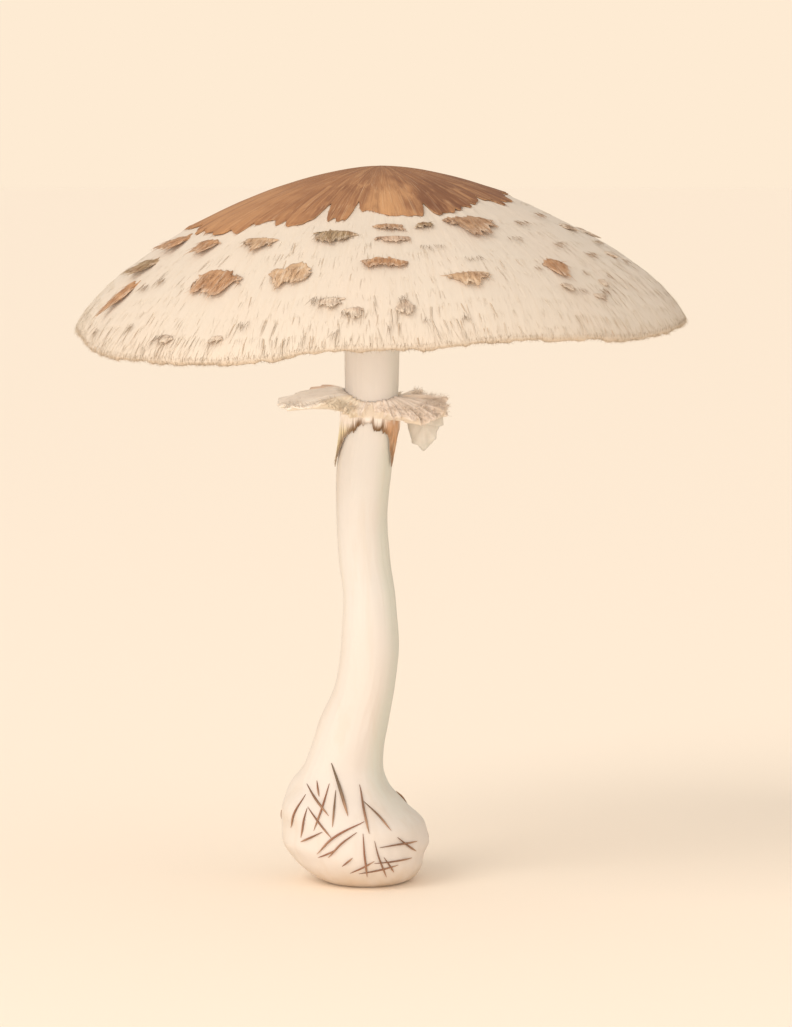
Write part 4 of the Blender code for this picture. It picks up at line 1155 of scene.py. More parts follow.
def make_cap_flesh(finish):
    """The pale flesh: its felted upper side, its rim, its smooth underside and the stem's socket."""
    angle = sectors(CAP_STEPS)
    edge = torn_edge(angle)
    length = DOME.length
    rows = []
    relief = []
    for part in (0.04, 0.3, 0.6, 0.9):
        rows.append(on_dome(edge * part, angle, FLESH_UNDER_CROWN))
        relief.append(np.full(CAP_STEPS, 0.4))
    for part in np.linspace(0, 1, 66):
        s = edge + (length - edge) * part
        out, raised = felt_height(s, angle, edge)
        rows.append(on_dome(s, angle, out))
        relief.append(raised)
    # The ragged lip, given a low value so that the finish paints it in shade
    for reach, out in ((0.7, -0.9), (0.9, -1.4), (0.4, -2.0), (-0.4, -2.5)):
        rows.append(on_dome(length + reach * lip_reach(angle), angle, out))
        relief.append(np.full(CAP_STEPS, -4.0))
    arcs, thickness = np.array(UNDERSIDE)[:, :2].T
    rows.append(on_dome(length - 1.4, angle, -LIP_THICKNESS))
    for s in np.linspace(arcs[-1], arcs[0], 26):
        rows.append(on_dome(s, angle, -float(smooth(arcs, thickness, s))))
    ceiling = float(DOME.at(arcs[0], -thickness[0])[1])
    for r, z in ((WELL_RADIUS - 0.6, ceiling), (SOCKET_RADIUS, ceiling), (SOCKET_RADIUS, SOCKET_TOP)):
        rows.append(on_cap(r, angle, z))
    relief += [np.full(CAP_STEPS, 0.7)] * (len(rows) - len(relief))
    points, faces = rounds(rows)
    put(mesh_object("cap_flesh", points, faces, finish, relief=poled(relief)), "cap", "cap")


def make_gills(finish):
    """Long and short gills, each a thin blade with its root in the flesh."""
    rng = np.random.default_rng(51)
    table = np.array(UNDERSIDE)
    made = bpy.data.collections.new("gill_blades")
    for kind, starts, column, stations in (("a_long", 9.7, 2, 26), ("b_short", 41.0, 3, 14)):
        for i in range(4):
            start = starts + (rng.uniform(-1.0, 9.0) if kind == "b_short" else 0)
            s = np.linspace(start, GILL_END, stations)
            deep = smooth(table[:, 0], table[:, column], s) + rng.uniform(-0.3, 0.3)
            if kind == "b_short":
                deep = deep * ease(s, start - 1, start + 9) * 1.15
            deep = np.maximum(deep + 0.12 * cloud(52 + i, s / 3), 0.25)
            root_r, root_z = DOME.at(s, -smooth(table[:, 0], table[:, 1], s) + 0.4)
            bend = 0.25 * cloud(60 + i, s / 9) + 0.06 * cloud(66 + i, s / 2.5)
            sides = []
            for side in (-1, 1):
                grid = []
                for share, half in ((0.0, 0.3), (0.35, 0.26), (0.8, 0.2), (1.0, 0.09)):
                    low = root_z - (deep + 0.4) * share
                    thick = np.minimum(half, root_r * math.pi / GILL_PAIRS / 2 * 0.45)
                    grid.append(np.stack([root_r, bend * share + side * thick, low], axis=-1))
                sides.append(np.array(grid))
            points, faces = shell(sides[0], sides[1])
            mesh_object(f"{kind}_{i}", points, faces, home=made)
    base = mesh_object("carrier", np.zeros((1, 3)), [])
    obj = grown("gills", BLADES_ROUND_AXIS, base, Kit=made, Kinds=4, Finish=finish, Pairs=GILL_PAIRS)
    count = len(obj.data.vertices)
    flat = np.zeros(count * 3, np.float32)
    obj.data.vertices.foreach_get("co", flat)
    x, y, z = flat.reshape(-1, 3).astype(float).T * 1000
    bent = on_cap(np.hypot(x, y), np.degrees(np.arctan2(y, x)), z) / 1000
    obj.data.vertices.foreach_set("co", bent.astype(np.float32).ravel())
    obj.data.update()
    discard(made)
    put(obj, "cap")


def discard(collection):
    """Removes a collection with everything in it."""
    for obj in list(collection.objects):
        bpy.data.objects.remove(obj)
    bpy.data.collections.remove(collection)


def all_scales():
    """Every torn scale: arc length of its middle, azimuth, width, length, lift, teeth, colour."""
    rng = np.random.default_rng(BACK_SEED)
    rows = list(FRONT_SCALES)
    for i in range(BACK_SCALES):
        r = 46 + 24 * math.sqrt((i + rng.uniform(0, 1)) / BACK_SCALES)
        turn = 4 + 168 * (i * GOLDEN_SHARE % 1)
        big = rng.uniform(0.4, 1.0) * (1.1 if r < 62 else 0.65)
        name = BACK_TONES[i % len(BACK_TONES)]
        rows.append((r, turn, 4 + 9 * big, 3 + 4.5 * big, 0.7 + 0.8 * big, 1 + round(2 * big), name))
    angle = sectors(CAP_SECTORS)
    edge = crown_edge(angle)
    placed = []
    for r, azimuth, width, length, lift, teeth, name in rows:
        near = apart(angle, azimuth) < math.degrees(width / 2 / r) + 3
        middle = max(float(DOME.arc(r)), float(edge[near].max()) + 0.7 + length / 2)
        # Towards the right-hand side every scale is pale
        name = "felt" if math.cos(math.radians(azimuth)) > 0.8 else name
        placed.append((middle, azimuth, width, length, lift, teeth, TONES[name]))
    return placed


SCALES = all_scales()


def scale_grid(number, row):
    """A torn scale's face: arc lengths, azimuths, heights, and how near each point is to its torn edge."""
    middle, azimuth, width, length, lift, teeth, _ = row
    u = np.linspace(-1, 1, 31)[None, :]
    v = np.linspace(0, 1, 17)[:, None]
    seed = 200 + 7 * number
    start = 0.3 * u**2 + 0.15 * cloud(seed, u * 2.4 + 9) + 0.09 * cloud(seed + 1, u * 9)
    torn = 0.26 * cloud(seed + 2, u * (teeth + 0.8)) + 0.16 * cloud(seed + 3, u * 5.5)
    reach = 0.95 - 0.36 * u**2 + (torn + 0.1 * cloud(seed + 4, u * 14))
    narrow = 0.84 + 0.18 * cloud(seed + 5, v * 2.2 + 3 * np.sign(u))
    narrow = narrow + 0.12 * cloud(seed + 6, v * 6 + 5 * np.sign(u))
    across = width / 2 * u * narrow
    down = -length / 2 + length * (start * (1 - v) + reach * v)
    part = np.clip((down + length / 2) / length, 0, 1.15)
    curl = 0.35 * np.clip(v - 0.75, 0, 1) * (1 + cloud(seed + 7, u * 3))
    side = math.cos(math.radians(azimuth))
    free = lift * (0.2 + (0.8 if side < 0 else 0.0) * abs(side) ** 3)
    rough = 0.08 * cloud(seed + 8, u * width * 1.4, v * 2) + 0.07 * cloud(seed + 9, u * width * 3.2, v * 3)
    sunk = 0.4 + 0.4 * float(ease(side, 0.6, 0.85))
    out = -sunk + 0.6 * ease(part, 0.0, 0.3) + free * part**1.3 + curl - 0.3 * u**2 + rough
    s = middle + down
    r, _ = DOME.at(s, out)
    return s, azimuth + np.degrees(across / r), out, np.maximum(v, np.abs(u))


def make_scales(finish, hair, hairs):
    """Torn brown scales, with the frayed hair along their lower edges."""
    pile = Pile()
    spots = []
    felt = TONES["felt"]
    for number, row in enumerate(SCALES):
        _, azimuth, *_, own = row
        s, angle, out, edge = scale_grid(number, row)
        top = on_dome(s, angle, out)
        low = on_dome(s, angle, out - 0.14 - 0.35 * (1 - np.clip(edge, 0, 1) ** 4))
        points, faces = shell(top, low)
        shade = mixed(own, CROWN_DARK, 0.16 + 0.3 * cloud(300 + number, s / 1.6, angle / 2))
        pale = 0.5 * ease(edge + 0.15 * cloud(350 + number, s * 2, angle), 0.72, 1.05)
        shade = mixed(shade, felt, pale)
        pile.add(points, faces, paint=np.tile(shade.reshape(-1, 3), (2, 1)))
        comb = down_the_cap(s, angle)
        reach = 0.3 if math.cos(math.radians(azimuth)) > 0.85 else 1.0
        for j in range(2, s.shape[0] - 2, 2):
            for k in range(0, s.shape[1] - 2, 2):
                corners = [top[j, k], top[j + 2, k], top[j + 2, k + 2], top[j, k + 2]]
                dark = 0.2 + 0.45 * float(cloud(400 + number, s[j, k], angle[j, k]))
                tint = mixed(own, CROWN_DARK if dark > 0 else felt, abs(dark))
                spots.append((corners, comb[j, k], tint, reach))
    put(pile.build("torn_scales", finish), "crown")
    grow("scale_fringe", "crown", patches(spots), hairs, hair)


def make_wisps(finish, hairs):
    """Wisps of darker hair on the felt."""
    rng = np.random.default_rng(71)
    rows = list(WISPS)
    for i in range(BACK_WISPS):
        r = rng.uniform(52, 73)
        rows.append((r, 18 + 146 * (i * GOLDEN_SHARE % 1), rng.uniform(2, 4.5), rng.uniform(1.6, 3), 0.5))
    spots = []
    for r, azimuth, wide, reach, brown in rows:
        s = float(DOME.arc(r))
        half = math.degrees(wide / 2 / r)
        corners = ((-0.6, -half), (0.6, -half), (0.6, half), (-0.6, half))
        corners = [on_dome(s + down, azimuth + across, 0.1) for down, across in corners]
        colour = mixed(WISP_TONES["grey"], WISP_TONES["brown"], brown)
        spots.append((corners, down_the_cap(s, azimuth), colour, reach))
    grow("dark_wisps", "cap", patches(spots), hairs, finish)


def clear_of_scales(s, angle, above):
    """1 where the felt is free, and 0 on each scale and up to this far above it."""
    free = np.ones(np.broadcast(s, angle).shape)
    for middle, azimuth, width, length, _, _, own in SCALES:
        if own == TONES["felt"]:
            continue
        r, _ = DOME.at(middle, 0.0)
        across = apart(angle, azimuth) * math.radians(float(r))
        down = s - middle
        inside = (across < width / 2 + 0.3) & (down > -length / 2 - above) & (down < length / 2 - 0.4)
        free = np.where(inside, 0.0, free)
    return free


def make_shag(lock, hair, rim_hair, locks, hairs):
    """Pale locks and hairs combed down the felt, and the fringe at the margin."""
    angle = sectors(SHAG_STEPS)[None, :]
    edge = torn_edge(angle[0])[None, :]
    part = np.linspace(0, 1, 70)[:, None]
    s = edge + 0.3 + (DOME.length - 0.9 - edge) * part
    band = s + 3.0 * turning(86, angle, 70)
    out, _ = felt_height(s, angle, edge)
    comb = down_the_cap(s, angle)
    patchy = np.clip(0.85 + 0.4 * turning(81, angle, 26, s / 11), 0.3, 1.2)
    shag = np.clip(1 + 0.8 * turning(82, angle, 12, s / 15), 0.3, 2.0)
    reach = np.clip(1 + 0.25 * turning(83, angle, 30, s / 8), 0.6, 1.3)
    reach = reach * ease(DOME.length + 2.6 - s, 0.0, 6.5)
    left = np.clip(np.cos(np.radians(angle - 230)), 0, 1) ** 2
    grouped = np.clip(0.45 + 1.3 * turning(87, angle, 26, s / 10) + 0.8 * left, 0, 1.8)
    thinned = (grouped, ease(DOME.length - s, 3.5, 7.0))
    top, upper, lower, rim = HAIR_ZONES
    for name, strands, finish, shares, sunk, above, start, end in (
        ("felt_locks", locks, lock, thinned, 0.13, 1.4, top, rim),
        ("felt_hair_upper", hairs, hair, (), 0.08, 0.6, top, upper),
        ("felt_hair_middle", hairs, hair, (), 0.08, 0.6, upper, lower),
        ("felt_hair_lower", hairs, hair, (), 0.08, 0.6, lower, rim),
    ):
        cover = patchy * clear_of_scales(s, angle, above) * (band >= start) * (band < end)
        for share in shares:
            cover = cover * share
        short = np.clip((DOME.length + 1.2 - s) / growth(name)["Longest"], 0.05, reach)
        grow(name, "cap", carrier(on_dome(s, angle, out - sunk), comb, cover, short, shag), strands, finish)
    lip = np.array([
        (-1.3, 0.0, -0.2), (-0.7, 0.0, -0.3), (-0.1, 0.0, -0.5), (0.0, 0.65, -0.85), (0.0, 0.85, -1.35),
        (0.0, 0.4, -1.9),
    ])
    start, hang, out = lip.T[:, :, None]
    rim = DOME.length + start + hang * lip_reach(angle)
    comb = down_the_cap(np.minimum(rim, DOME.length - 0.5), angle) + (0.0, 0.0, -0.5)
    cover = np.clip(0.8 + 0.5 * turning(84, angle, 90), 0.1, 1.3)
    grow("margin_fringe", "cap", carrier(on_dome(rim, angle, out), comb, cover), hairs, rim_hair)


def make_crown(finish, hair, hairs):
    """The smooth brown disc on top, with its torn and slightly raised edge."""
    angle = sectors(CAP_STEPS)
    edge = torn_edge(angle)
    curl = 0.08 + 0.14 * np.clip(turning(94, angle, 34) + turning(95, angle, 90) * 0.6, -0.6, 1)
    rows = []
    paint = []
    for part in np.concatenate([np.linspace(0.01, 0.9, 30), np.linspace(0.915, 1.0, 9)]):
        s = edge * part
        wrinkle = 0.08 * turning(96, angle, 150, s / 9) * ease(part, 0.05, 0.4)
        flat = -0.15 * np.exp(-((s / 3.5) ** 2))
        out = flat + curl * ease(part, 0.86, 1.0) + wrinkle + 0.1 * turning(97, angle, 12, s / 12)
        rows.append(on_dome(s, angle, out))
        # Painted light and shade round the edge, from CROWN_SHADE, and paler towards the middle
        light = around(CROWN_SHADE, angle + 8 * turning(98, angle, 20, s / 6)) * ease(part, 0.25, 0.8)
        light = light + 0.42 * ease(part, 0.8, 0.25) + 0.12 * turning(99, angle, 40, s / 4)
        shade = mixed(mixed(CROWN_DARK, CROWN_MID, light * 2), CROWN_LIGHT, light * 2 - 1)
        paint.append(mixed(shade, CROWN_DARK, 0.2 * ease(part, 0.97, 1.0)))
    for reach, low in ((0.02, 0.12), (-0.15, 0.3), (-0.6, 0.6), (-2.0, 1.0)):
        rows.append(on_dome(edge + reach, angle, curl * (1 + min(reach, 0) / 3) - low))
        paint.append(mixed(TONES["tan"], CROWN_MID, np.full(CAP_STEPS, 0.5)))
    for part in (0.8, 0.4, 0.02):
        rows.append(on_dome(edge * part, angle, -1.1))
        paint.append(np.tile(TONES["felt"], (CAP_STEPS, 1)))
    points, faces = rounds(rows)
    put(mesh_object("crown_skin", points, faces, finish, paint=poled(paint)), "crown", "crown")
    angle, edge, curl = angle[None, ::2], edge[None, ::2], curl[None, ::2]
    rim = np.array([-0.9, 0.0])[:, None] + edge
    points = on_dome(rim, angle, curl * 0.9 + np.array([0.0, -0.12])[:, None])
    # The fringe has the crown's painted light and shade round its edge
    own = mixed(CROWN_DARK, CROWN_LIGHT, around(CROWN_SHADE, angle))
    cover = np.clip(0.6 + turning(101, angle, 80), 0, 1.4)
    skin = carrier(points, down_the_cap(rim, angle), cover, paint=own)
    grow("crown_fringe", "crown", skin, hairs, hair)


def stem_lumps(z, angle):
    """The solid's uneven swellings of the stem, eased from one of its heights to the next."""
    rng = np.random.default_rng(STEM_SEED)
    heights = sorted([row[0] for row in STEM] + [EXTRA_RING])
    rows = []
    for height in heights:
        lumps = np.zeros(len(angle))
        if LUMPY[0] < height < LUMPY[1]:
            size = 0.32 if height < BULB_TOP else 0.13
            lumps = waves(rng, angle, ((2, size), (3, size * 0.7), (5, size * 0.5)))
        rows.append(lumps)
    rows = np.array(rows)
    k = np.clip(np.searchsorted(heights, z, side="right") - 1, 0, len(heights) - 2)
    part = ease(z, heights[k], heights[k + 1])
    return rows[k] * (1 - part) + rows[k + 1] * part


def make_stem(finish):
    """Stem and bulb in one, smooth above and a little rough at the base."""
    angle = sectors(STEM_STEPS)
    side = np.cos(np.radians(angle))
    low = [0.0, 0.25, 0.6, 1.0, 1.6, 2.3]
    high = [140.0, 150.0, 168.0]
    heights = np.concatenate([low, np.arange(3.0, 30.0, 0.7), np.arange(30.0, 134.0, 1.1), high])
    rows = []
    paint = []
    for z in heights[::-1]:
        silk = 0.05 * turning(111, angle, 90, z / 14)
        rough = 0.10 * turning(112, angle, 60, z / 1.6) * ease(z, 22, 6) * ease(z, 0, 1)
        rows.append(stem_point(z, angle, stem_lumps(z, angle) + silk + rough))
        # Painted shade on the right-hand side, away from the light
        right = ease(side + 0.15 * turning(113, angle, 6, z / 18), 0.35, 0.85) * ease(z, 8, 30)
        left = ease(-side + 0.1 * turning(114, angle, 6, z / 15), 0.75, 1.0)
        foot = ease(z, 6.0, 0.5) * (0.6 + 0.4 * turning(115, angle, 40, z / 2))
        shade = mixed(STEM_TONES["low"], STEM_TONES["tall"], ease(z, 45, 75))
        # The top is painted a touch paler, as light against the cap's shade
        for name, share in (
            ("right", 0.85 * right), ("left", 0.4 * left), ("top", ease(z, 104, 118) * (1 - 0.5 * right)),
            ("foot", foot),
        ):
            shade = mixed(shade, STEM_TONES[name], share)
        paint.append(shade)
    points, faces = rounds(rows)
    put(mesh_object("stem_flesh", points, faces, finish, paint=poled(paint)), "stem", "stem")


def make_needles(finish):
    """Dry needles stuck on the bulb."""
    rng = np.random.default_rng(STEM_SEED + 1)
    paths = [(path, thick, grey, False) for path, thick, grey in NEEDLES]
    for i in range(BACK_NEEDLES):
        turn = 20 + 140 * (i * GOLDEN_SHARE % 1)
        z = rng.uniform(8, 21)
        lean = rng.uniform(-35, 35)
        fall = rng.uniform(5, 10) * (1 if i % 2 else -1)
        paths.append((((turn, z), (turn + lean, max(3.6, z + fall))), rng.uniform(0.8, 1.1), 0.4, True))
    points = []
    edges = []
    thick_at = []
    grey_at = []
    for path, thick, grey, turned in paths:
        path = np.array(path, float)
        along = np.concatenate([[0], np.cumsum(np.hypot(*np.diff(path, axis=0).T))])
        at = np.linspace(0, along[-1], NEEDLE_POINTS)
        u = smooth(along, path[:, 0], at)
        z = smooth(along, path[:, 1], at)
        across, _, radius = stem_at(z)
        angle = u if turned else -np.degrees(np.arccos(np.clip((u - across) / radius, -0.999, 0.999)))
        lumps = np.array([stem_lumps(h, np.array([a]))[0] for h, a in zip(z, angle)])
        proud = np.sin(np.linspace(0.4, 2.6, NEEDLE_POINTS)) * 0.35 * thick
        spine = stem_point(z, angle, lumps + proud)
        first = len(points)
        points += spine.tolist()
        edges += [(first + i, first + i + 1) for i in range(len(spine) - 1)]
        thick_at += [thick * NEEDLE_SHARE / 1000] * len(spine)
        grey_at += [grey] * len(spine)
    base = mesh_object("needle_paths", points, [], edges=edges, thick=thick_at, tint=grey_at)
    put(grown("needles", RODS_ON_PATHS, base, Finish=finish), "stem")


def ring_values(angle):
    """The solid ring's frayed outline at any angle: rim reach and height, top, lower edge."""
    rng = np.random.default_rng(RING_SEED)
    fray = refined(tufts(rng, RING_SECTORS, (2, 2, 3)) - 0.5, angle)
    fray2 = refined(tufts(rng, RING_SECTORS, (2, 3)) - 0.5, angle)
    rim_r = around(SKIRT, angle, 1)
    rim_z = around(SKIRT, angle, 2)
    wide = np.clip((rim_r - 8.5) / 6, 0, 1)
    rim_r = rim_r + 1.6 * fray * (0.35 + 0.65 * wide)
    rim_z = rim_z + 1.3 * fray2 * wide
    return rim_r, rim_z, around(RING_TOP, angle) + 0.5 * fray, around(SLEEVE, angle) + 0.9 * fray2, wide


def make_ring(finish, hair, curls):
    """The torn ring: a frilled skirt, and a sleeve with two tails."""
    angle = sectors(RING_STEPS)
    rim_r, rim_z, top_z, low_z, wide = ring_values(angle)
    c, s = np.cos(np.radians(angle)), np.sin(np.radians(angle))
    frilly = ease(np.cos(np.radians(angle - FRILLED_SIDE)), -0.2, 0.6)
    tuft = ease(np.abs(angle - TUFT_SIDE), 22, 8)
    soft = np.maximum(frilly, tuft)
    for azimuth, rise in RIM_CURLS:
        rim_z = rim_z + rise * np.clip(1 - np.abs(angle - azimuth) / 3.5, 0, 1)
    jags = 0.45 * turning(121, angle, 170) + 0.35 * turning(122, angle, 380)
    rim_r = rim_r + jags * (0.35 + 0.65 * wide)
    low_z = low_z + 0.35 * turning(123, angle, 170) + 0.3 * turning(124, angle, 330)
    frill = (0.75 * turning(125, angle, 80) + 0.55 * turning(126, angle, 190)) * (0.3 + 0.7 * soft)
    join_z = np.minimum(around(SKIRT_ROOT, angle), top_z - 2.4)
    low = np.minimum(low_z, join_z - 1.0)

    def skirt(part, z):
        """A point this part of the way from the stem to the skirt's rim."""
        start = stem_point(z, angle, RING_GAP + SLEEVE_THICK)
        x = start[:, 0] * (1 - part) + (RING_MIDDLE + rim_r * c) * part
        y = start[:, 1] * (1 - part) + rim_r * s * part
        return np.stack([x, y, z], axis=-1)

    own = mixed(RING_TONES["cream"], RING_TONES["pink"], 0.75 * frilly)
    # Greyer towards the back and right: painted shade on the side away from the light
    own = mixed(own, RING_TONES["grey"], 0.6 * ease(s, 0.1, 0.7) * ease(c, 0, 0.5))
    own = mixed(own, RING_TONES["tuft"], 0.8 * tuft)
    rosy = 0.8 * ease(np.abs(angle - ROSY_SIDE), 9, 4)
    rows = [stem_point(top_z, angle, RING_GAP)]
    paint = [own]
    for part in (0.12, 0.3, 0.48, 0.64, 0.78, 0.9, 1.0):
        cell = turning(127, angle, 150, part * 6)
        z = top_z * (1 - part) + (rim_z + 0.3) * part + 0.45 * wide * math.sin(math.pi * part)
        rows.append(skirt(part, z + frill * part**1.5 + 0.3 * cell * soft * part))
        dark = 0.9 * np.clip(cell, 0, 1) * soft + 0.5 * ease(part, 0.8, 1.0) * turning(130, angle, 130)
        shade = mixed(own, RING_TONES["rosy"], rosy * ease(part, 0.4, 0.6))
        paint.append(mixed(shade, RING_TONES["fold"], dark))
    rim = rows[-1][:, 2]
    rows.append(skirt(1.01, rim - 0.25))
    paint.append(paint[-1])
    # The skirt's underside, painted darker as shade under the skirt
    for part in (0.97, 0.84, 0.66, 0.48, 0.28):
        above = np.interp(part, (0.0, 0.97), (0.0, 1.0))
        folds = 0.3 * cloud(134, angle / 3, np.full(RING_STEPS, part * 4)) * wide
        z = join_z * (1 - above) + (rim - 0.55) * above + folds
        rows.append(skirt(part, np.minimum(z, top_z * (1 - part) + rim * part - 0.55)))
        paint.append(mixed(own, RING_TONES["under"], 0.6))
    slope = np.abs(np.gradient(np.concatenate([low[-2:], low, low[:2]])))[2:-2]
    slope = slope / (SLEEVE_RADIUS * math.radians(360 / RING_STEPS))
    sleeve = RING_TONES["sleeve"]
    tail = mixed(RING_TONES["tail"], RING_TONES["pale_tail"], ease(-c, 0.0, 0.5))
    blotch = ease(apart(angle, FRILLED_SIDE), 30, 10)
    torn = around(TORN_DARK, angle)
    for part in (0.0, 0.25, 0.5, 0.68, 0.8, 0.9, 0.96, 1.0):
        z = join_z * (1 - part) + (low + 0.12) * part
        thin = SLEEVE_THICK - 0.4 * ease(part, 0.5, 1.0)
        rows.append(stem_point(z, angle, RING_GAP + thin + 0.1 * turning(128, angle, 70, part * 3)))
        near = (z - low) / np.sqrt(1 + slope**2) + 0.35 * turning(129, angle, 110)
        shade = mixed(sleeve, tail, ease(z, *TAIL_START))
        stain = 0.95 * blotch * ease(z + 0.8 * turning(135, angle, 60), *ORANGE_START)
        for share in (stain, 0.35 * ease(near, 1.8, 0.5) * torn):
            shade = mixed(shade, RING_TONES["orange"], share)
        paint.append(mixed(shade, RING_TONES["torn"], ease(near, 0.5 + 1.3 * torn, 0.3) * torn))
    for part, out, dark in ((1.0, 0.12, 0.6), (0.6, 0.0, 0.0), (0.25, 0.0, 0.0)):
        z = low * part + top_z * (1 - part)
        rows.append(stem_point(z, angle, RING_GAP + out))
        paint.append(mixed(sleeve, RING_TONES["torn"], np.full(RING_STEPS, dark)))
    points, faces = rounds(rows, loop=True)
    paint = np.array(paint)
    put(mesh_object("ring_felt", points, faces, finish, paint=paint.reshape(-1, 3)), "ring", "ring")
    make_flap(finish)
    grid = np.array(rows)[:, ::2]
    paint = paint[:, ::2]
    outward = np.stack([c, s, 0 * c - 0.3], axis=-1)[None, ::2]
    curled = ease(np.abs(angle - CURLED_SIDE), 21, 14) * np.array([0.0, 0.0, 0.1, 0.5, 1.0, 1.0])[:, None]
    curled = curled[:, ::2]
    cover = np.clip(0.9 * frilly + 1.4 * tuft, 0, 1.6)[None, ::2] + curled
    skirt_rim = slice(3, 9)
    shade = mixed(paint[skirt_rim], RING_TONES["curl"], 0.6 * curled)
    skin = carrier(grid[skirt_rim], outward, cover, shag=2.0, paint=shade)
    grow("ring_fluff", "ring", skin, curls, hair)
    sleeve_edge = slice(18, 22)
    down = (0.0, 0.0, -1.0)
    cover = np.array([0.1, 0.3, 1.0, 1.0])[:, None]
    skin = carrier(grid[sleeve_edge], down, cover, shag=0.6, paint=paint[sleeve_edge])
    grow("sleeve_fringe", "ring", skin, curls, hair)


def make_flap(finish):
    """The flap that hangs behind the right side of the ring, painted grey as shade."""
    outline = np.array(FLAP)
    middle = np.array(FLAP_MIDDLE)
    turns = np.linspace(0, len(outline), 67)[:-1]
    wrapped = np.vstack([outline[-2:], outline, outline[:3]])
    edge = np.stack([smooth(np.arange(-2, len(outline) + 3), wrapped[:, k], turns) for k in (0, 1)], axis=-1)
    jag = 1 + 0.05 * cloud(131, turns * 2.3)[:, None]
    rows = []
    shares = (0.03, 0.3, 0.55, 0.8, 1.0)
    for side, order in ((0.0, shares), (0.75, shares[::-1])):
        for share in order:
            flat = middle + (edge - middle) * share * jag
            y = FLAP_BACK + side * (1 - 0.3 * share) + 0.5 * np.sin(turns * 1.9) * share
            y = y + (flat[:, 0] - 14) * -0.12
            y = y + 0.25 * cloud(132, flat[:, 0] / 1.5, flat[:, 1] / 1.5)
            rows.append(np.stack([flat[:, 0], y, flat[:, 1]], axis=-1))
    points, faces = rounds(rows)
    blotches = 0.5 + 0.5 * cloud(133, points[:, 0], points[:, 2])
    # Two greys in blotches, painted shade behind the ring
    paint = mixed(RING_TONES["flap"], RING_TONES["grey_flap"], blotches)
    put(mesh_object("ring_flap", points, faces, finish, paint=paint), "ring")


def make_stage():
    """A plain pale floor that meets a backdrop of its own colour."""
    finish, tree, surface = new_finish("pale_floor", roughness=0.9)
    surface.inputs["Specular IOR Level"].default_value = 0.1
    coat(tree, surface, FLOOR)
    clear = add(tree, "ShaderNodeBsdfTransparent").outputs[0]
    under = add(tree, "ShaderNodeNewGeometry").outputs["Backfacing"]
    seen = add(tree, "ShaderNodeMixShader", {0: under, 1: surface.outputs[0], 2: clear}).outputs[0]
    tree.links.new(seen, tree.nodes["Material Output"].inputs["Surface"])
    turn = np.radians(sectors(FLOOR_STEPS))
    rings = [np.stack([r * np.cos(turn), r * np.sin(turn), 0 * turn], axis=-1) for r in FLOOR_REACH]
    here = np.arange(FLOOR_STEPS)
    ahead = (here + 1) % FLOOR_STEPS
    faces = np.stack([here, here + FLOOR_STEPS, ahead + FLOOR_STEPS, ahead], axis=1).tolist()
    mesh_object("floor", np.concatenate(rings), faces, finish)


def aimed(obj, spot, target):
    """Sets a light or the camera in its place, turned towards a point."""
    obj.location = spot
    obj.rotation_euler = (Vector(target) - Vector(spot)).to_track_quat("-Z", "Y").to_euler()


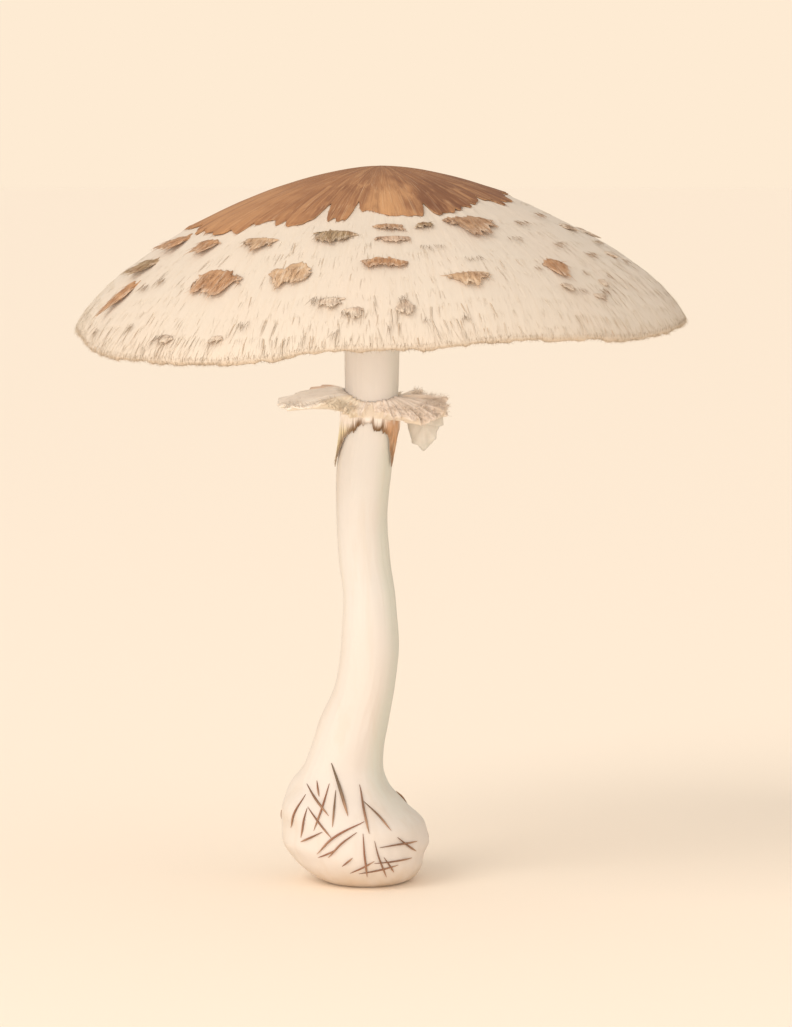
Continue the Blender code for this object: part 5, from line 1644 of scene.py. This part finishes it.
def make_light():
    """Soft light from the upper left and a bright warm room."""
    world = bpy.data.worlds.new("studio")
    world.use_nodes = True
    tree = world.node_tree
    back = tree.nodes["Background"]
    feed(tree, back.inputs["Color"], ROOM_LIGHT)
    back.inputs["Strength"].default_value = 0.77
    seen = add(tree, "ShaderNodeBackground", {"Color": BACKDROP, "Strength": 1.0}).outputs[0]
    path = add(tree, "ShaderNodeLightPath").outputs["Is Camera Ray"]
    both = add(tree, "ShaderNodeMixShader", {0: path, 1: back.outputs[0], 2: seen}).outputs[0]
    tree.links.new(both, tree.nodes["World Output"].inputs["Surface"])
    bpy.context.scene.world = world
    panel = {"shape": "RECTANGLE", "size": 1.0, "size_y": 0.5}
    disk = {"shape": "DISK", "size": 0.1}
    for name, kind, energy, settings, spot, target in (
        ("key", "SUN", 1.02, {"angle": math.radians(35)}, (-0.9, -0.75, 1.0), (0, 0, 0)),
        ("side", "SUN", 0.22, {"angle": math.radians(60)}, (1.0, -0.45, 0.3), (0, 0, 0)),
        ("fill", "AREA", 8.5, panel, (-0.4, -1.3, 0.2), (0, 0, 0.1)),
        ("glow_under_cap", "AREA", 0.011, disk, (0.003, 0.0, 0.141), (0.003, 0.0001, 0.0)),
    ):
        light = bpy.data.lights.new(name, kind)
        light.energy = energy
        light.color = ROOM_LIGHT
        for key, value in settings.items():
            setattr(light, key, value)
        lamp = linked(name, light)
        lamp.visible_camera = False
        aimed(lamp, spot, target)
    bpy.context.scene.view_settings.view_transform = "Standard"


def make_camera():
    """In front of the part and a little above its cap, as in the picture."""
    lens = bpy.data.cameras.new("camera")
    lens.lens = 150
    lens.sensor_fit = "VERTICAL"
    lens.sensor_height = 36
    lens.clip_end = 30
    camera = linked("camera", lens)
    target = Vector(LOOK_AT) / 1000
    rise = math.radians(CAMERA_RISE)
    aimed(camera, target + Vector((0, -math.cos(rise), math.sin(rise))) * CAMERA_DISTANCE, target)
    bpy.context.scene.camera = camera


def main():
    make_camera()
    make_light()
    make_stage()
    locks = kit("locks", 1, 6, rows=6, sides=4, width=0.75, flat=0.08, curl=-0.02, sway=0.35)
    hairs = kit("hairs", 2, 6, rows=4, sides=3, width=0.22, flat=0.9, curl=-0.2, sway=0.9)
    curls = kit("curls", 3, 6, rows=6, sides=3, width=0.28, flat=0.9, curl=1.2, sway=1.8, wiggle=0.6)
    pale_locks, pale_hair, margin_hair = (hair_finish(name) for name in HAIR_TONES)
    toned = toned_hair_finish("toned_hair", 0.22)
    ring_hair = toned_hair_finish("ring_hair", 0.0, 0.6)
    make_cap_flesh(felt_finish())
    make_gills(gill_finish())
    make_crown(crown_finish(), toned, hairs)
    make_scales(scale_finish(), toned, hairs)
    make_shag(pale_locks, pale_hair, margin_hair, locks, hairs)
    make_wisps(toned, hairs)
    make_stem(stem_finish())
    make_needles(needle_finish())
    make_ring(ring_finish(), ring_hair, curls)
    for collection in (locks, hairs, curls):
        discard(collection)


main()
